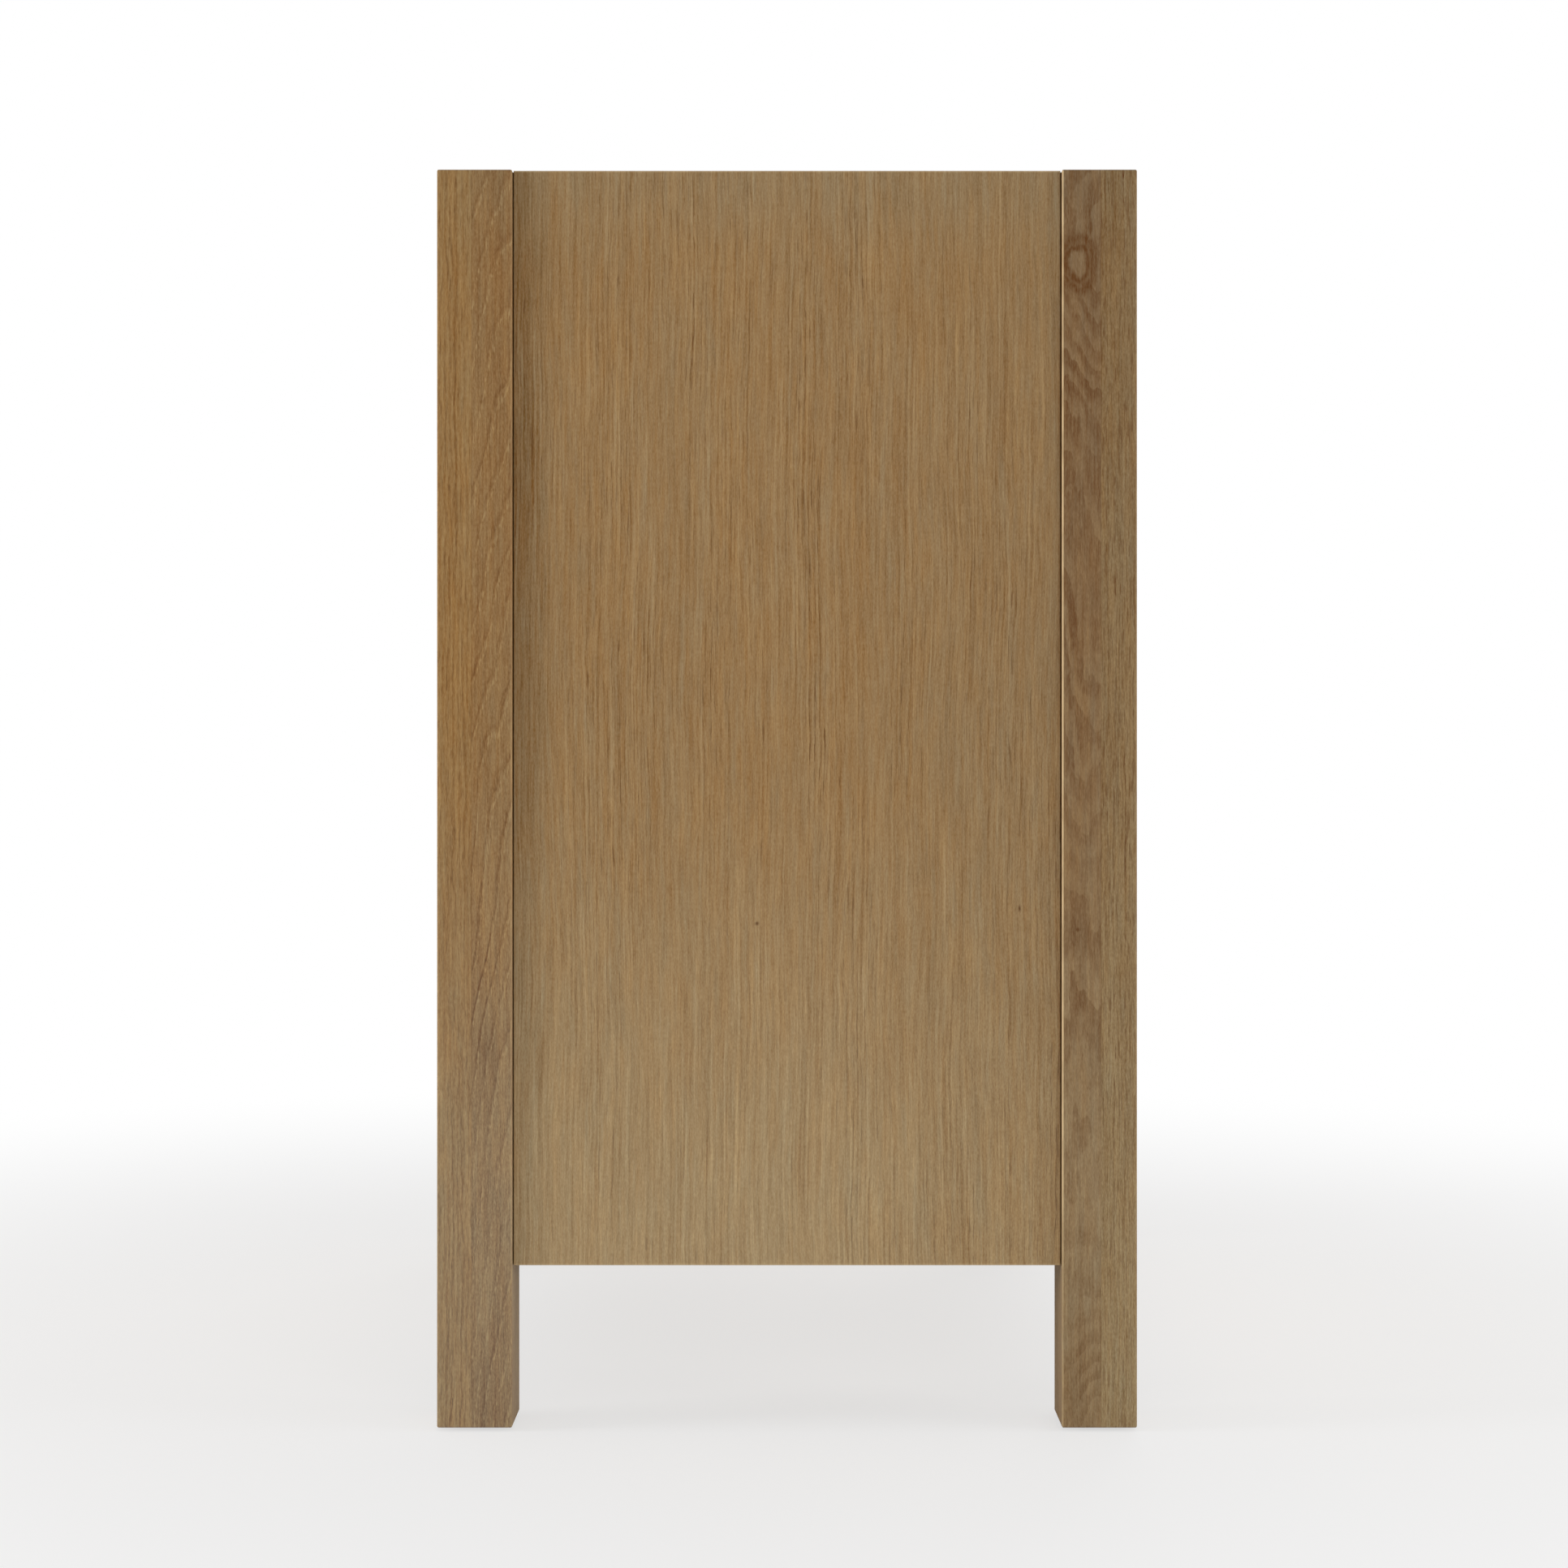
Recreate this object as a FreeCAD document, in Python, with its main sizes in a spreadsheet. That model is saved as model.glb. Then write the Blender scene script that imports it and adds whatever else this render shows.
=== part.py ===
import os

import FreeCAD
import Part
import Sketcher

# Oak vanity unit: posts, panels and rails, two pivoted doors and one drawer on telescopic runners.
# The origin is on the floor under the middle of the unit: +X is to the right, -Y the front, +Z up.

DRIVING_SIZES = {
    "overall_width": (760, "across the posts, left to right"),
    "overall_depth": (466, "across the posts, front to back"),
    "overall_height": (840, "floor to the top of the posts"),
    "post_size": (50, "square section of a post"),
    "post_ease": (1.2, "radius along the edges of a post"),
    "leg_clearance": (110, "floor to the underside of panels and rails"),
    "board_thick": (18, "side panels, doors, drawer front, floor and divider"),
    "board_ease": (0.6, "radius along the exposed edges of a board"),
    "side_recess": (4, "post face to side panel face"),
    "front_recess": (2, "post face to the plane of doors and rails"),
    "back_recess": (2, "post face to the back of the back rails"),
    "shadow_gap": (0.6, "open line between a post and a side panel"),
    "tongue_thick": (8, "tongue along a side panel"),
    "tongue_length": (8, "tongue into the post"),
    "tongue_inset": (5, "side panel face to the tongue"),
    "fit_gap": (0.1, "clearance on each side of a fitted piece"),
    "slip_gap": (0.5, "clearance past the end of a fitted piece"),
    "overcut": (1, "how far a cut starts outside the wood"),
    "top_rail_height": (40, "front rail over the doors"),
    "middle_rail_height": (24, "front rail between doors and drawer"),
    "bottom_rail_height": (36, "front rail under the drawer"),
    "drawer_opening": (180, "height between the middle and bottom rails"),
    "tenon_thick": (9, "rail tenon"),
    "tenon_length": (22, "rail tenon into the post"),
    "tenon_shoulder": (5, "rail edge to its tenon"),
    "wall_rail_height": (80, "back rail that is screwed to the wall"),
    "back_rail_height": (60, "lower back rail"),
    "back_rail_thick": (20, "both back rails"),
    "back_panel_thick": (6, "back panel"),
    "back_groove": (7, "groove that holds the back panel"),
    "service_width": (320, "opening for pipes in the back panel"),
    "service_height": (220, "opening for pipes in the back panel"),
    "service_radius": (20, "corners of the opening for pipes"),
    "wall_hole": (8, "holes for wall screws"),
    "wall_hole_spacing": (400, "between the wall screws"),
    "dowel_diameter": (8, "dowels at the ends of floor and divider"),
    "dowel_length": (30, "dowels at the ends of floor and divider"),
    "dowel_depth": (11, "dowel into the side panel"),
    "dowel_spacing": (120, "from dowel to dowel"),
    "shelf_thick": (16, "loose shelf"),
    "shelf_depth": (240, "loose shelf, front to back"),
    "shelf_rise": (210, "divider to the underside of the loose shelf"),
    "shelf_play": (1.5, "loose shelf to a side panel"),
    "shelf_setback": (5, "front posts to the loose shelf"),
    "pin_diameter": (5, "shelf pins"),
    "pin_depth": (10, "shelf pin into the side panel"),
    "pin_reach": (9, "shelf pin under the shelf"),
    "pin_pitch": (32, "between shelf pin holes"),
    "pin_inset": (40, "shelf edge to its pins"),
    "batten_width": (20, "top battens"),
    "batten_height": (30, "top battens"),
    "worktop_hole": (5, "holes for the worktop screws"),
    "worktop_hole_spacing": (240, "between worktop screws, front to back"),
    "stop_gap": (1.5, "back of a shut door to the stop batten"),
    "stop_width": (20, "stop batten, front to back"),
    "stop_height": (40, "stop batten"),
    "stop_drop": (20, "stop batten below the top rail"),
    "magnet_diameter": (10, "catch magnets"),
    "magnet_length": (8, "catch magnets"),
    "magnet_offset": (40, "middle of the unit to a magnet"),
    "strike_diameter": (14, "steel discs in the doors"),
    "strike_thick": (1.5, "steel discs in the doors"),
    "bumper_diameter": (8, "door bumpers"),
    "bumper_gap": (0.3, "bumper to the stop batten"),
    "bumper_inset": (80, "magnet to the first bumper and hinge edge to the other"),
    "reveal": (2, "gap around doors and drawer front"),
    "nose_flat": (0.2, "flat left between the two roundings of a hinge edge"),
    "pivot_diameter": (6, "hinge pins"),
    "pivot_reach": (10, "hinge pin into the door"),
    "pivot_gap": (0.05, "running clearance around a hinge pin"),
    "washer_diameter": (12, "washer under a door"),
    "washer_gap": (0.1, "washer to the door plate"),
    "plate_length": (45, "hinge plates"),
    "plate_width": (12, "hinge plates"),
    "plate_thick": (2.5, "hinge plates"),
    "plate_screw_start": (15, "hinge pin to the first plate screw"),
    "plate_screw_pitch": (15, "between plate screws"),
    "finger_notch_depth": (18, "finger notch into a door"),
    "finger_notch_length": (90, "finger notch along a door"),
    "scoop_depth": (20, "finger scoop into the drawer front"),
    "scoop_width": (120, "finger scoop along the drawer front"),
    "runner_height": (45, "outer member of a runner"),
    "runner_width": (12.6, "post to drawer side"),
    "runner_gauge": (1.2, "sheet of the runners"),
    "runner_play": (0.4, "between the members of a runner"),
    "runner_head_room": (2.2, "outer web to middle web, for screw heads"),
    "runner_rise": (64, "floor to the middle of a runner"),
    "runner_setback": (1, "each end of the drawer box to the runner"),
    "runner_screw_inset": (18, "end of a runner to its end screws"),
    "bearer_height": (60, "wood strips behind the runners"),
    "box_thick": (12, "drawer box sides, front and back"),
    "box_height": (130, "drawer box"),
    "box_back_room": (72, "drawer box to the back rails"),
    "box_rise": (14, "floor to the drawer box"),
    "box_bottom_thick": (6, "drawer bottom"),
    "box_bottom_rise": (8, "lower edge of the box to the drawer bottom"),
    "box_groove": (5, "groove that holds the drawer bottom"),
    "glide_diameter": (24, "leg glides"),
    "glide_height": (2.5, "leg glides below the legs"),
    "glide_stem": (5, "stem of a glide"),
    "glide_stem_length": (15, "stem of a glide"),
    "glide_ease": (0.8, "radius around a glide"),
    "batten_screw_diameter": (4, "screws through the battens"),
    "batten_screw_length": (30, "screws through the battens, under the head"),
    "batten_screw_head": (8, "head of a batten screw"),
    "batten_screw_head_height": (2.4, "head of a batten screw"),
    "batten_screw_drive": (4.8, "cross recess of a batten screw"),
    "batten_screw_spacing": (120, "between the screws of a top batten"),
    "stop_screw_spacing": (200, "between the screws of the stop batten"),
    "stop_screw_rise": (10, "top rail's lower edge to the screws of the stop batten"),
    "front_screw_diameter": (4, "screws from the box front into the drawer front"),
    "front_screw_length": (24, "screws into the drawer front, under the head"),
    "front_screw_head": (8, "head of a drawer front screw"),
    "front_screw_head_height": (2.4, "head of a drawer front screw"),
    "front_screw_drive": (4.8, "cross recess of a drawer front screw"),
    "front_screw_spacing": (400, "between drawer front screws, left to right"),
    "front_screw_inset": (32, "edge of the box front to its screws"),
    "small_screw_diameter": (3, "hinge and runner screws"),
    "small_screw_length": (10, "hinge and runner screws, under the head"),
    "small_screw_head": (5.6, "head of a small screw"),
    "small_screw_head_height": (1.5, "head of a small screw"),
    "small_screw_drive": (3.4, "cross recess of a small screw"),
    "drive_depth": (0.9, "cross recess in a screw head"),
    "drive_slot": (0.9, "width of a cross recess"),
}
SHEET_NAME = "Sizes"
FINGERS = 13
PIN_HOLES = 7
RUNNER_SCREWS = 3
ROLES = {"X": "YZ_Plane", "Y": "XZ_Plane", "Z": "XY_Plane"}
LEFT, RIGHT = -1, 1
FRONT, BACK = -1, 1
SIDES = {"left": LEFT, "right": RIGHT}
ENDS = {"front": FRONT, "back": BACK}
SAME_SPOT = 1e-4


class Size:
    """A length that carries its sheet expression, so that sums of sizes stay bound to the sheet."""

    def __init__(self, value, text):
        self.value = value
        self.text = text

    def __add__(self, other):
        other = sized(other)
        return Size(self.value + other.value, f"({self.text} + {other.text})")

    def __sub__(self, other):
        other = sized(other)
        return Size(self.value - other.value, f"({self.text} - {other.text})")

    def __mul__(self, factor):
        return Size(self.value * factor, f"({self.text} * {factor})")

    def __truediv__(self, factor):
        return Size(self.value / factor, f"({self.text} / {factor})")

    def __neg__(self):
        return self * -1


def sized(item):
    return item if isinstance(item, Size) else Size(float(item), f"{item}")


def from_sheet(name):
    return Size(float(sheet.get(name)), f"{SHEET_NAME}.{name}")


def span(start, end):
    """The two ends of a stretch, the lower one first."""
    return tuple(sorted((sized(start), sized(end)), key=lambda size: size.value))


def around(middle, width):
    return span(middle - width / 2, middle + width / 2)


doc = FreeCAD.newDocument("vanity_unit")
sheet = doc.addObject("Spreadsheet::Sheet", SHEET_NAME)
for row, (alias, (number, note)) in enumerate(DRIVING_SIZES.items(), start=1):
    sheet.set(f"A{row}", alias)
    sheet.set(f"B{row}", str(number))
    sheet.setAlias(f"B{row}", alias)
    sheet.set(f"C{row}", note)
doc.recompute()


class Place:
    """Planes and levels that the pieces share, each worked out once from the sheet."""

    half_width = from_sheet("overall_width") / 2
    half_depth = from_sheet("overall_depth") / 2
    top = from_sheet("overall_height")
    base = from_sheet("leg_clearance")
    post_x = half_width - from_sheet("post_size")
    post_y = half_depth - from_sheet("post_size")
    post_middle_x = half_width - from_sheet("post_size") / 2
    post_middle_y = half_depth - from_sheet("post_size") / 2
    panel_out_x = half_width - from_sheet("side_recess")
    panel_in_x = panel_out_x - from_sheet("board_thick")
    face_y = from_sheet("front_recess") - half_depth
    inner_y = face_y + from_sheet("board_thick")
    rail_back_y = inner_y + from_sheet("stop_gap")
    back_out_y = half_depth - from_sheet("back_recess")
    back_in_y = back_out_y - from_sheet("back_rail_thick")
    back_middle_y = back_out_y - from_sheet("back_rail_thick") / 2
    floor_top = base + from_sheet("bottom_rail_height")
    middle_low = floor_top + from_sheet("drawer_opening")
    middle_top = middle_low + from_sheet("middle_rail_height")
    top_low = top - from_sheet("top_rail_height")
    wall_rail_low = top - from_sheet("wall_rail_height")
    back_rail_top = base + from_sheet("back_rail_height")
    back_panel_low = back_rail_top - from_sheet("back_groove") + from_sheet("slip_gap")
    back_panel_top = wall_rail_low + from_sheet("back_groove") - from_sheet("slip_gap")
    door_low = middle_top + from_sheet("reveal")
    door_top = top_low - from_sheet("reveal")
    door_middle = (door_low + door_top) / 2
    hinge_x = post_x - from_sheet("reveal") - from_sheet("board_thick") / 2
    hinge_y = face_y + from_sheet("board_thick") / 2
    catch_z = top_low - from_sheet("stop_drop") / 2
    shelf_low = middle_top + from_sheet("shelf_rise")
    shelf_front = from_sheet("shelf_setback") - post_y
    pin_z = shelf_low - from_sheet("pin_diameter") / 2
    runner_z = floor_top + from_sheet("runner_rise")
    box_x = post_x - from_sheet("runner_width")
    box_low = floor_top + from_sheet("box_rise")
    box_top = box_low + from_sheet("box_height")
    box_back = back_in_y - from_sheet("box_back_room")
    box_bottom_low = box_low + from_sheet("box_bottom_rise")
    runner_front = inner_y + from_sheet("runner_setback")
    runner_back = box_back - from_sheet("runner_setback")
    front_low = floor_top + from_sheet("reveal")
    front_top = middle_low - from_sheet("reveal")


def new_body(label):
    body = doc.addObject("PartDesign::Body", label)
    body.Label = label
    return body


def origin_feature(body, role):
    return next(feature for feature in body.Origin.OriginFeatures if feature.Role == role)


def new_sketch(body, name, axis, level):
    """A sketch square to an axis. The plane across Y faces -Y, so its level turns over."""
    sketch = body.newObject("Sketcher::SketchObject", name)
    sketch.AttachmentSupport = (origin_feature(body, ROLES[axis]), [""])
    sketch.MapMode = "FlatFace"
    level = -level if axis == "Y" else level
    sketch.setExpression("AttachmentOffset.Base.z", level.text)
    return sketch


def bind(sketch, sizes):
    """Adds constraints, each paired with the size that drives it."""
    indices = sketch.addConstraint([constraint for constraint, _ in sizes])
    for index, (_, size) in zip(indices, sizes):
        name = f"size_{index}"
        sketch.renameConstraint(index, name)
        sketch.setExpression(f"Constraints.{name}", size.text)


def pinned(curve, point, spot):
    """The constraints that hold a point of a curve at a spot measured from the sketch's origin."""
    across, along = map(sized, spot)
    return [(Sketcher.Constraint("DistanceX", -1, 1, curve, point, across.value), across),
            (Sketcher.Constraint("DistanceY", -1, 1, curve, point, along.value), along)]


def vector(spot):
    across, along = map(sized, spot)
    return FreeCAD.Vector(across.value, along.value, 0)


def draw_outline(sketch, corners):
    first = sketch.GeometryCount
    count = len(corners)
    ends = zip(corners, corners[1:] + corners[:1])
    sketch.addGeometry([Part.LineSegment(vector(start), vector(end)) for start, end in ends], False)
    joins = [(first + index, first + (index + 1) % count) for index in range(count)]
    sketch.addConstraint([Sketcher.Constraint("Coincident", line, 2, after, 1) for line, after in joins])
    sizes = [pinned(first + index, 1, corner) for index, corner in enumerate(corners)]
    bind(sketch, sum(sizes, []))


def draw_box(sketch, across, along):
    (left, right), (low, high) = across, along
    draw_outline(sketch, [(left, low), (right, low), (right, high), (left, high)])


def draw_circle(sketch, centre, diameter):
    axis = FreeCAD.Vector(0, 0, 1)
    circle = sketch.addGeometry(Part.Circle(vector(centre), axis, diameter.value / 2), False)
    width = (Sketcher.Constraint("Diameter", circle, diameter.value), diameter)
    bind(sketch, pinned(circle, 3, centre) + [width])


def draw_slot(sketch, start, end, width):
    """A slot with round ends about two centres."""
    first, last = vector(start), vector(end)
    along = (last - first).normalize()
    out = FreeCAD.Vector(-along.y, along.x, 0) * (width.value / 2)
    reach = along * (width.value / 2)
    arc = sketch.addGeometry(Part.Arc(first + out, first - reach, first - out), False)
    line = sketch.addGeometry(Part.LineSegment(first - out, last - out), False)
    far_arc = sketch.addGeometry(Part.Arc(last - out, last + reach, last + out), False)
    far_line = sketch.addGeometry(Part.LineSegment(last + out, first + out), False)
    for curve, after in ((arc, line), (line, far_arc), (far_arc, far_line), (far_line, arc)):
        sketch.addConstraint(Sketcher.Constraint("Tangent", curve, 2, after, 1))
    sketch.addConstraint(Sketcher.Constraint("Equal", arc, far_arc))
    radius = (Sketcher.Constraint("Radius", arc, width.value / 2), width / 2)
    bind(sketch, pinned(arc, 3, start) + pinned(far_arc, 3, end) + [radius])


def draw_cross(sketch, centre, reach, width):
    """The plus-shaped recess of a screw head."""
    across, along = map(sized, centre)
    slot, tip = width / 2, reach / 2
    quarter = [(slot, tip), (slot, slot), (tip, slot)]
    corners = []
    for turn in ((1, 1), (1, -1), (-1, -1), (-1, 1)):
        run = quarter if turn[0] * turn[1] > 0 else quarter[::-1]
        corners += [(across + x * turn[0], along + y * turn[1]) for x, y in run]
    draw_outline(sketch, corners)


def extrude(body, kind, name, axis, reach, draw):
    """A Pad or a Pocket over a stretch of one axis, from a sketch at the middle of the stretch."""
    start, end = reach
    sketch = new_sketch(body, f"{name}_sketch", axis, (start + end) / 2)
    draw(sketch)
    feature = body.newObject(f"PartDesign::{kind}", name)
    feature.Profile = sketch
    feature.SideType = "Symmetric"
    feature.setExpression("Length", (end - start).text)
    return feature


def add_block(body, name, x, y, z):
    return extrude(body, "Pad", name, "Z", z, lambda sketch: draw_box(sketch, x, y))


def cut_block(body, name, x, y, z):
    return extrude(body, "Pocket", name, "Z", z, lambda sketch: draw_box(sketch, x, y))


def draw_circles(spots, diameter):
    def draw(sketch):
        for spot in spots:
            draw_circle(sketch, spot, diameter)

    return draw


def add_pegs(body, name, axis, spots, diameter, reach):
    return extrude(body, "Pad", name, axis, reach, draw_circles(spots, diameter))


def cut_bores(body, name, axis, spots, diameter, reach):
    return extrude(body, "Pocket", name, axis, reach, draw_circles(spots, diameter))


def repeat(body, feature, name, axis, pitch, count):
    pattern = body.newObject("PartDesign::LinearPattern", name)
    pattern.Originals = [feature]
    pattern.Direction = (origin_feature(body, f"{axis}_Axis"), [""])
    pattern.setExpression("Length", (pitch * (count - 1)).text)
    pattern.Occurrences = count
    body.Tip = pattern


def round_edges(body, name, radius, chosen):
    """Rounds the edges of the body so far that a test on both ends of an edge picks out."""
    doc.recompute()
    base = body.Tip
    picked = []
    for number, edge in enumerate(base.Shape.Edges, start=1):
        if chosen(edge.Vertexes[0].Point, edge.Vertexes[-1].Point):
            picked.append(f"Edge{number}")
    rounding = body.newObject("PartDesign::Fillet", name)
    rounding.Base = (base, picked)
    rounding.setExpression("Radius", radius.text)


def near(value, size):
    return abs(value - size.value) < SAME_SPOT


def runs_along(axis, start, finish):
    """Whether the ends of an edge lie apart along an axis."""
    return abs(getattr(start, axis) - getattr(finish, axis)) > SAME_SPOT


def board(label, x, y, z):
    body = new_body(label)
    add_block(body, "board", x, y, z)
    return body


def clear(diameter):
    """The bore for a fitted peg or screw."""
    return diameter + from_sheet("fit_gap") * 2


def draw_crosses(spots, reach, width):
    def draw(sketch):
        for spot in spots:
            draw_cross(sketch, spot, reach, width)

    return draw


def screws(label, kind, axis, groups):
    """Screws along one axis. Each group is (seat, way in, spots): the way is +1 or -1 along the axis."""
    diameter, length = from_sheet(f"{kind}_diameter"), from_sheet(f"{kind}_length")
    head, height = from_sheet(f"{kind}_head"), from_sheet(f"{kind}_head_height")
    drive = from_sheet(f"{kind}_drive")
    body = new_body(label)
    for number, (seat, way, spots) in enumerate(groups):
        top = seat - height * way
        recess = span(top, top + from_sheet("drive_depth") * way)
        add_pegs(body, f"shanks_{number}", axis, spots, diameter, span(seat, seat + length * way))
        add_pegs(body, f"heads_{number}", axis, spots, head, span(seat, top))
        extrude(body, "Pocket", f"recesses_{number}", axis, recess,
                draw_crosses(spots, drive, from_sheet("drive_slot")))


def cut_pilots(body, name, kind, axis, seat, way, spots):
    """The bores in the wood for screws whose heads sit at a seat."""
    depth = from_sheet(f"{kind}_length") + from_sheet("slip_gap")
    reach = span(seat - from_sheet("overcut") * way, seat + depth * way)
    cut_bores(body, name, axis, spots, clear(from_sheet(f"{kind}_diameter")), reach)


def rail_levels():
    """Each rail's end of the unit, its lower and upper edge, and the shoulder over its tenon."""
    shoulder = from_sheet("tenon_shoulder")
    grooved = shoulder + from_sheet("back_groove")
    return {
        "top_front_rail": (FRONT, Place.top_low, Place.top, shoulder),
        "middle_front_rail": (FRONT, Place.middle_low, Place.middle_top, shoulder),
        "bottom_front_rail": (FRONT, Place.base, Place.floor_top, shoulder),
        "wall_rail": (BACK, Place.wall_rail_low, Place.top, grooved),
        "bottom_back_rail": (BACK, Place.base, Place.back_rail_top, grooved),
    }


def rail_depth(end):
    if end == FRONT:
        return Place.face_y, Place.rail_back_y
    return Place.back_in_y, Place.back_out_y


def tenon_depth(end, gap=0):
    start, finish = rail_depth(end)
    return around((start + finish) / 2, from_sheet("tenon_thick") + sized(gap) * 2)


def plate_screw_spots(side):
    """The plate screws of one door, in X and Y."""
    start = Place.hinge_x - from_sheet("plate_screw_start")
    return [(start * side, Place.hinge_y), ((start - from_sheet("plate_screw_pitch")) * side, Place.hinge_y)]


def runner_screw_spots():
    """The screws of one runner, in Y and Z."""
    first = Place.runner_front + from_sheet("runner_screw_inset")
    last = Place.runner_back - from_sheet("runner_screw_inset")
    pitch = (last - first) / (RUNNER_SCREWS - 1)
    return [(first + pitch * number, Place.runner_z) for number in range(RUNNER_SCREWS)]


def batten_screw_spots():
    """The screws of one top batten, in Y and Z."""
    level = Place.top - from_sheet("batten_height") / 2
    apart = from_sheet("batten_screw_spacing") / 2
    return [(-apart, level), (apart, level)]


def stop_screw_spots():
    """The screws of the stop batten, in X and Z."""
    level = Place.top_low + from_sheet("stop_screw_rise")
    return [(from_sheet("stop_screw_spacing") * step, level) for step in (-1, 0, 1)]


def front_screw_spots():
    """The screws between box front and drawer front, in X and Z."""
    apart = from_sheet("front_screw_spacing") / 2
    inset = from_sheet("front_screw_inset")
    levels = [Place.box_low + inset, Place.box_top - inset]
    return [(apart * step, level) for step in (-1, 1) for level in levels]


def make_posts():
    fit, slip, overcut = from_sheet("fit_gap"), from_sheet("slip_gap"), from_sheet("overcut")
    foot = from_sheet("glide_height")
    tongue_out = Place.panel_out_x - from_sheet("tongue_inset") + fit
    tongue_in = tongue_out - from_sheet("tongue_thick") - fit * 2
    front_spot = runner_screw_spots()[:1]
    runner_seat = Place.post_x - from_sheet("runner_gauge")
    for side_name, side in SIDES.items():
        for end_name, end in ENDS.items():
            across = span(Place.post_x * side, Place.half_width * side)
            deep = span(Place.post_y * end, Place.half_depth * end)
            post = board(f"{end_name}_{side_name}_post", across, deep, (foot, Place.top))
            round_edges(post, "eased", from_sheet("post_ease"), lambda start, finish: True)

            bottom = Place.post_y + from_sheet("tongue_length") + slip
            mouth = span((Place.post_y - overcut) * end, bottom * end)
            cut_block(post, "panel_groove", span(tongue_in * side, tongue_out * side), mouth,
                      (Place.base, Place.top + overcut))

            inside = Place.post_x - overcut
            mortise = span(inside * side, (Place.post_x + from_sheet("tenon_length") + slip) * side)
            for name, (rail_end, low, high, shoulder) in rail_levels().items():
                if rail_end == end:
                    cut_block(post, f"{name}_mortise", mortise, tenon_depth(end, fit),
                              (low + shoulder - fit, high - shoulder + fit))
            if end == BACK:
                groove = span(inside * side, (Place.post_x + from_sheet("back_groove")) * side)
                thick = from_sheet("back_panel_thick") + fit * 2
                cut_block(post, "back_groove", groove, around(Place.back_middle_y, thick),
                          (Place.back_panel_low - slip, Place.back_panel_top + slip))
            else:
                cut_pilots(post, "runner_pilots", "small_screw", "X", runner_seat * side, side, front_spot)

            middle = (Place.post_middle_x * side, Place.post_middle_y * end)
            stem = from_sheet("glide_stem_length") + slip
            cut_bores(post, "glide_bore", "Z", [middle], clear(from_sheet("glide_stem")),
                      (foot - overcut, foot + stem))


def make_glides():
    ends = [Place.post_middle_y * end for end in ENDS.values()]
    spots = [(Place.post_middle_x * side, end) for side in SIDES.values() for end in ends]
    foot, stem = from_sheet("glide_height"), from_sheet("glide_stem_length")
    glides = new_body("leg_glides")
    add_pegs(glides, "pads", "Z", spots, from_sheet("glide_diameter"), (sized(0), foot))
    round_edges(glides, "rounded", from_sheet("glide_ease"), lambda start, finish: near(start.z, sized(0)))
    add_pegs(glides, "stems", "Z", spots, from_sheet("glide_stem"), (foot, foot + stem))


def pin_rows():
    """The front and back rows of shelf pins, in Y."""
    back = Place.shelf_front + from_sheet("shelf_depth")
    return [Place.shelf_front + from_sheet("pin_inset"), back - from_sheet("pin_inset")]


def dowel_spots():
    """The dowels at one end of the floor and the divider, in Y and Z."""
    half = from_sheet("board_thick") / 2
    levels = [Place.floor_top - half, Place.middle_top - half]
    return [(from_sheet("dowel_spacing") * step, level) for level in levels for step in (-1, 0, 1)]


def make_side_panels():
    fit, slip, overcut = from_sheet("fit_gap"), from_sheet("slip_gap"), from_sheet("overcut")
    face, back = Place.panel_out_x, Place.panel_in_x
    tongue_out = face - from_sheet("tongue_inset")
    tongue_in = tongue_out - from_sheet("tongue_thick")
    shoulder = Place.post_y - from_sheet("shadow_gap")
    tip = Place.post_y + from_sheet("tongue_length")
    half_outline = [(face, shoulder), (tongue_out, shoulder), (tongue_out, tip), (tongue_in, tip),
                    (tongue_in, Place.post_y - fit), (back, Place.post_y - fit)]
    for name, side in SIDES.items():
        far_half = [(x * side, y) for x, y in half_outline]
        near_half = [(x * side, -y) for x, y in reversed(half_outline)]
        panel = new_body(f"{name}_side_panel")
        extrude(panel, "Pad", "panel", "Z", (Place.base, Place.top),
                lambda sketch: draw_outline(sketch, far_half + near_half))
        round_edges(panel, "eased", from_sheet("board_ease"),
                    lambda start, finish: near(start.x, face * side) and near(finish.x, face * side))

        depth = from_sheet("dowel_depth") + slip
        cut_bores(panel, "dowel_bores", "X", dowel_spots(), clear(from_sheet("dowel_diameter")),
                  span((back - overcut) * side, (back + depth) * side))
        lowest = Place.pin_z - from_sheet("pin_pitch") * (PIN_HOLES // 2)
        holes = cut_bores(panel, "pin_holes", "X", [(row, lowest) for row in pin_rows()],
                          clear(from_sheet("pin_diameter")),
                          span((back - overcut) * side, (back + from_sheet("pin_depth") + slip) * side))
        repeat(panel, holes, "pin_hole_rows", "Z", from_sheet("pin_pitch"), PIN_HOLES)
        seat = (back - from_sheet("batten_width")) * side
        cut_pilots(panel, "batten_pilots", "batten_screw", "X", seat, side, batten_screw_spots())


def hinge_seats():
    """Where the hinge plates meet: the rail's face, the way up or down to the door, and the door's edge."""
    return {"top": (Place.top_low, -1, Place.door_top), "bottom": (Place.middle_top, 1, Place.door_low)}


def draw_plate(side, gap=0):
    """The round-ended outline of one hinge plate, or of its seat with a gap."""
    end = Place.hinge_x - from_sheet("plate_length") + from_sheet("plate_width")
    width = from_sheet("plate_width") + sized(gap) * 2

    def draw(sketch):
        draw_slot(sketch, (Place.hinge_x * side, Place.hinge_y), (end * side, Place.hinge_y), width)

    return draw


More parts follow.
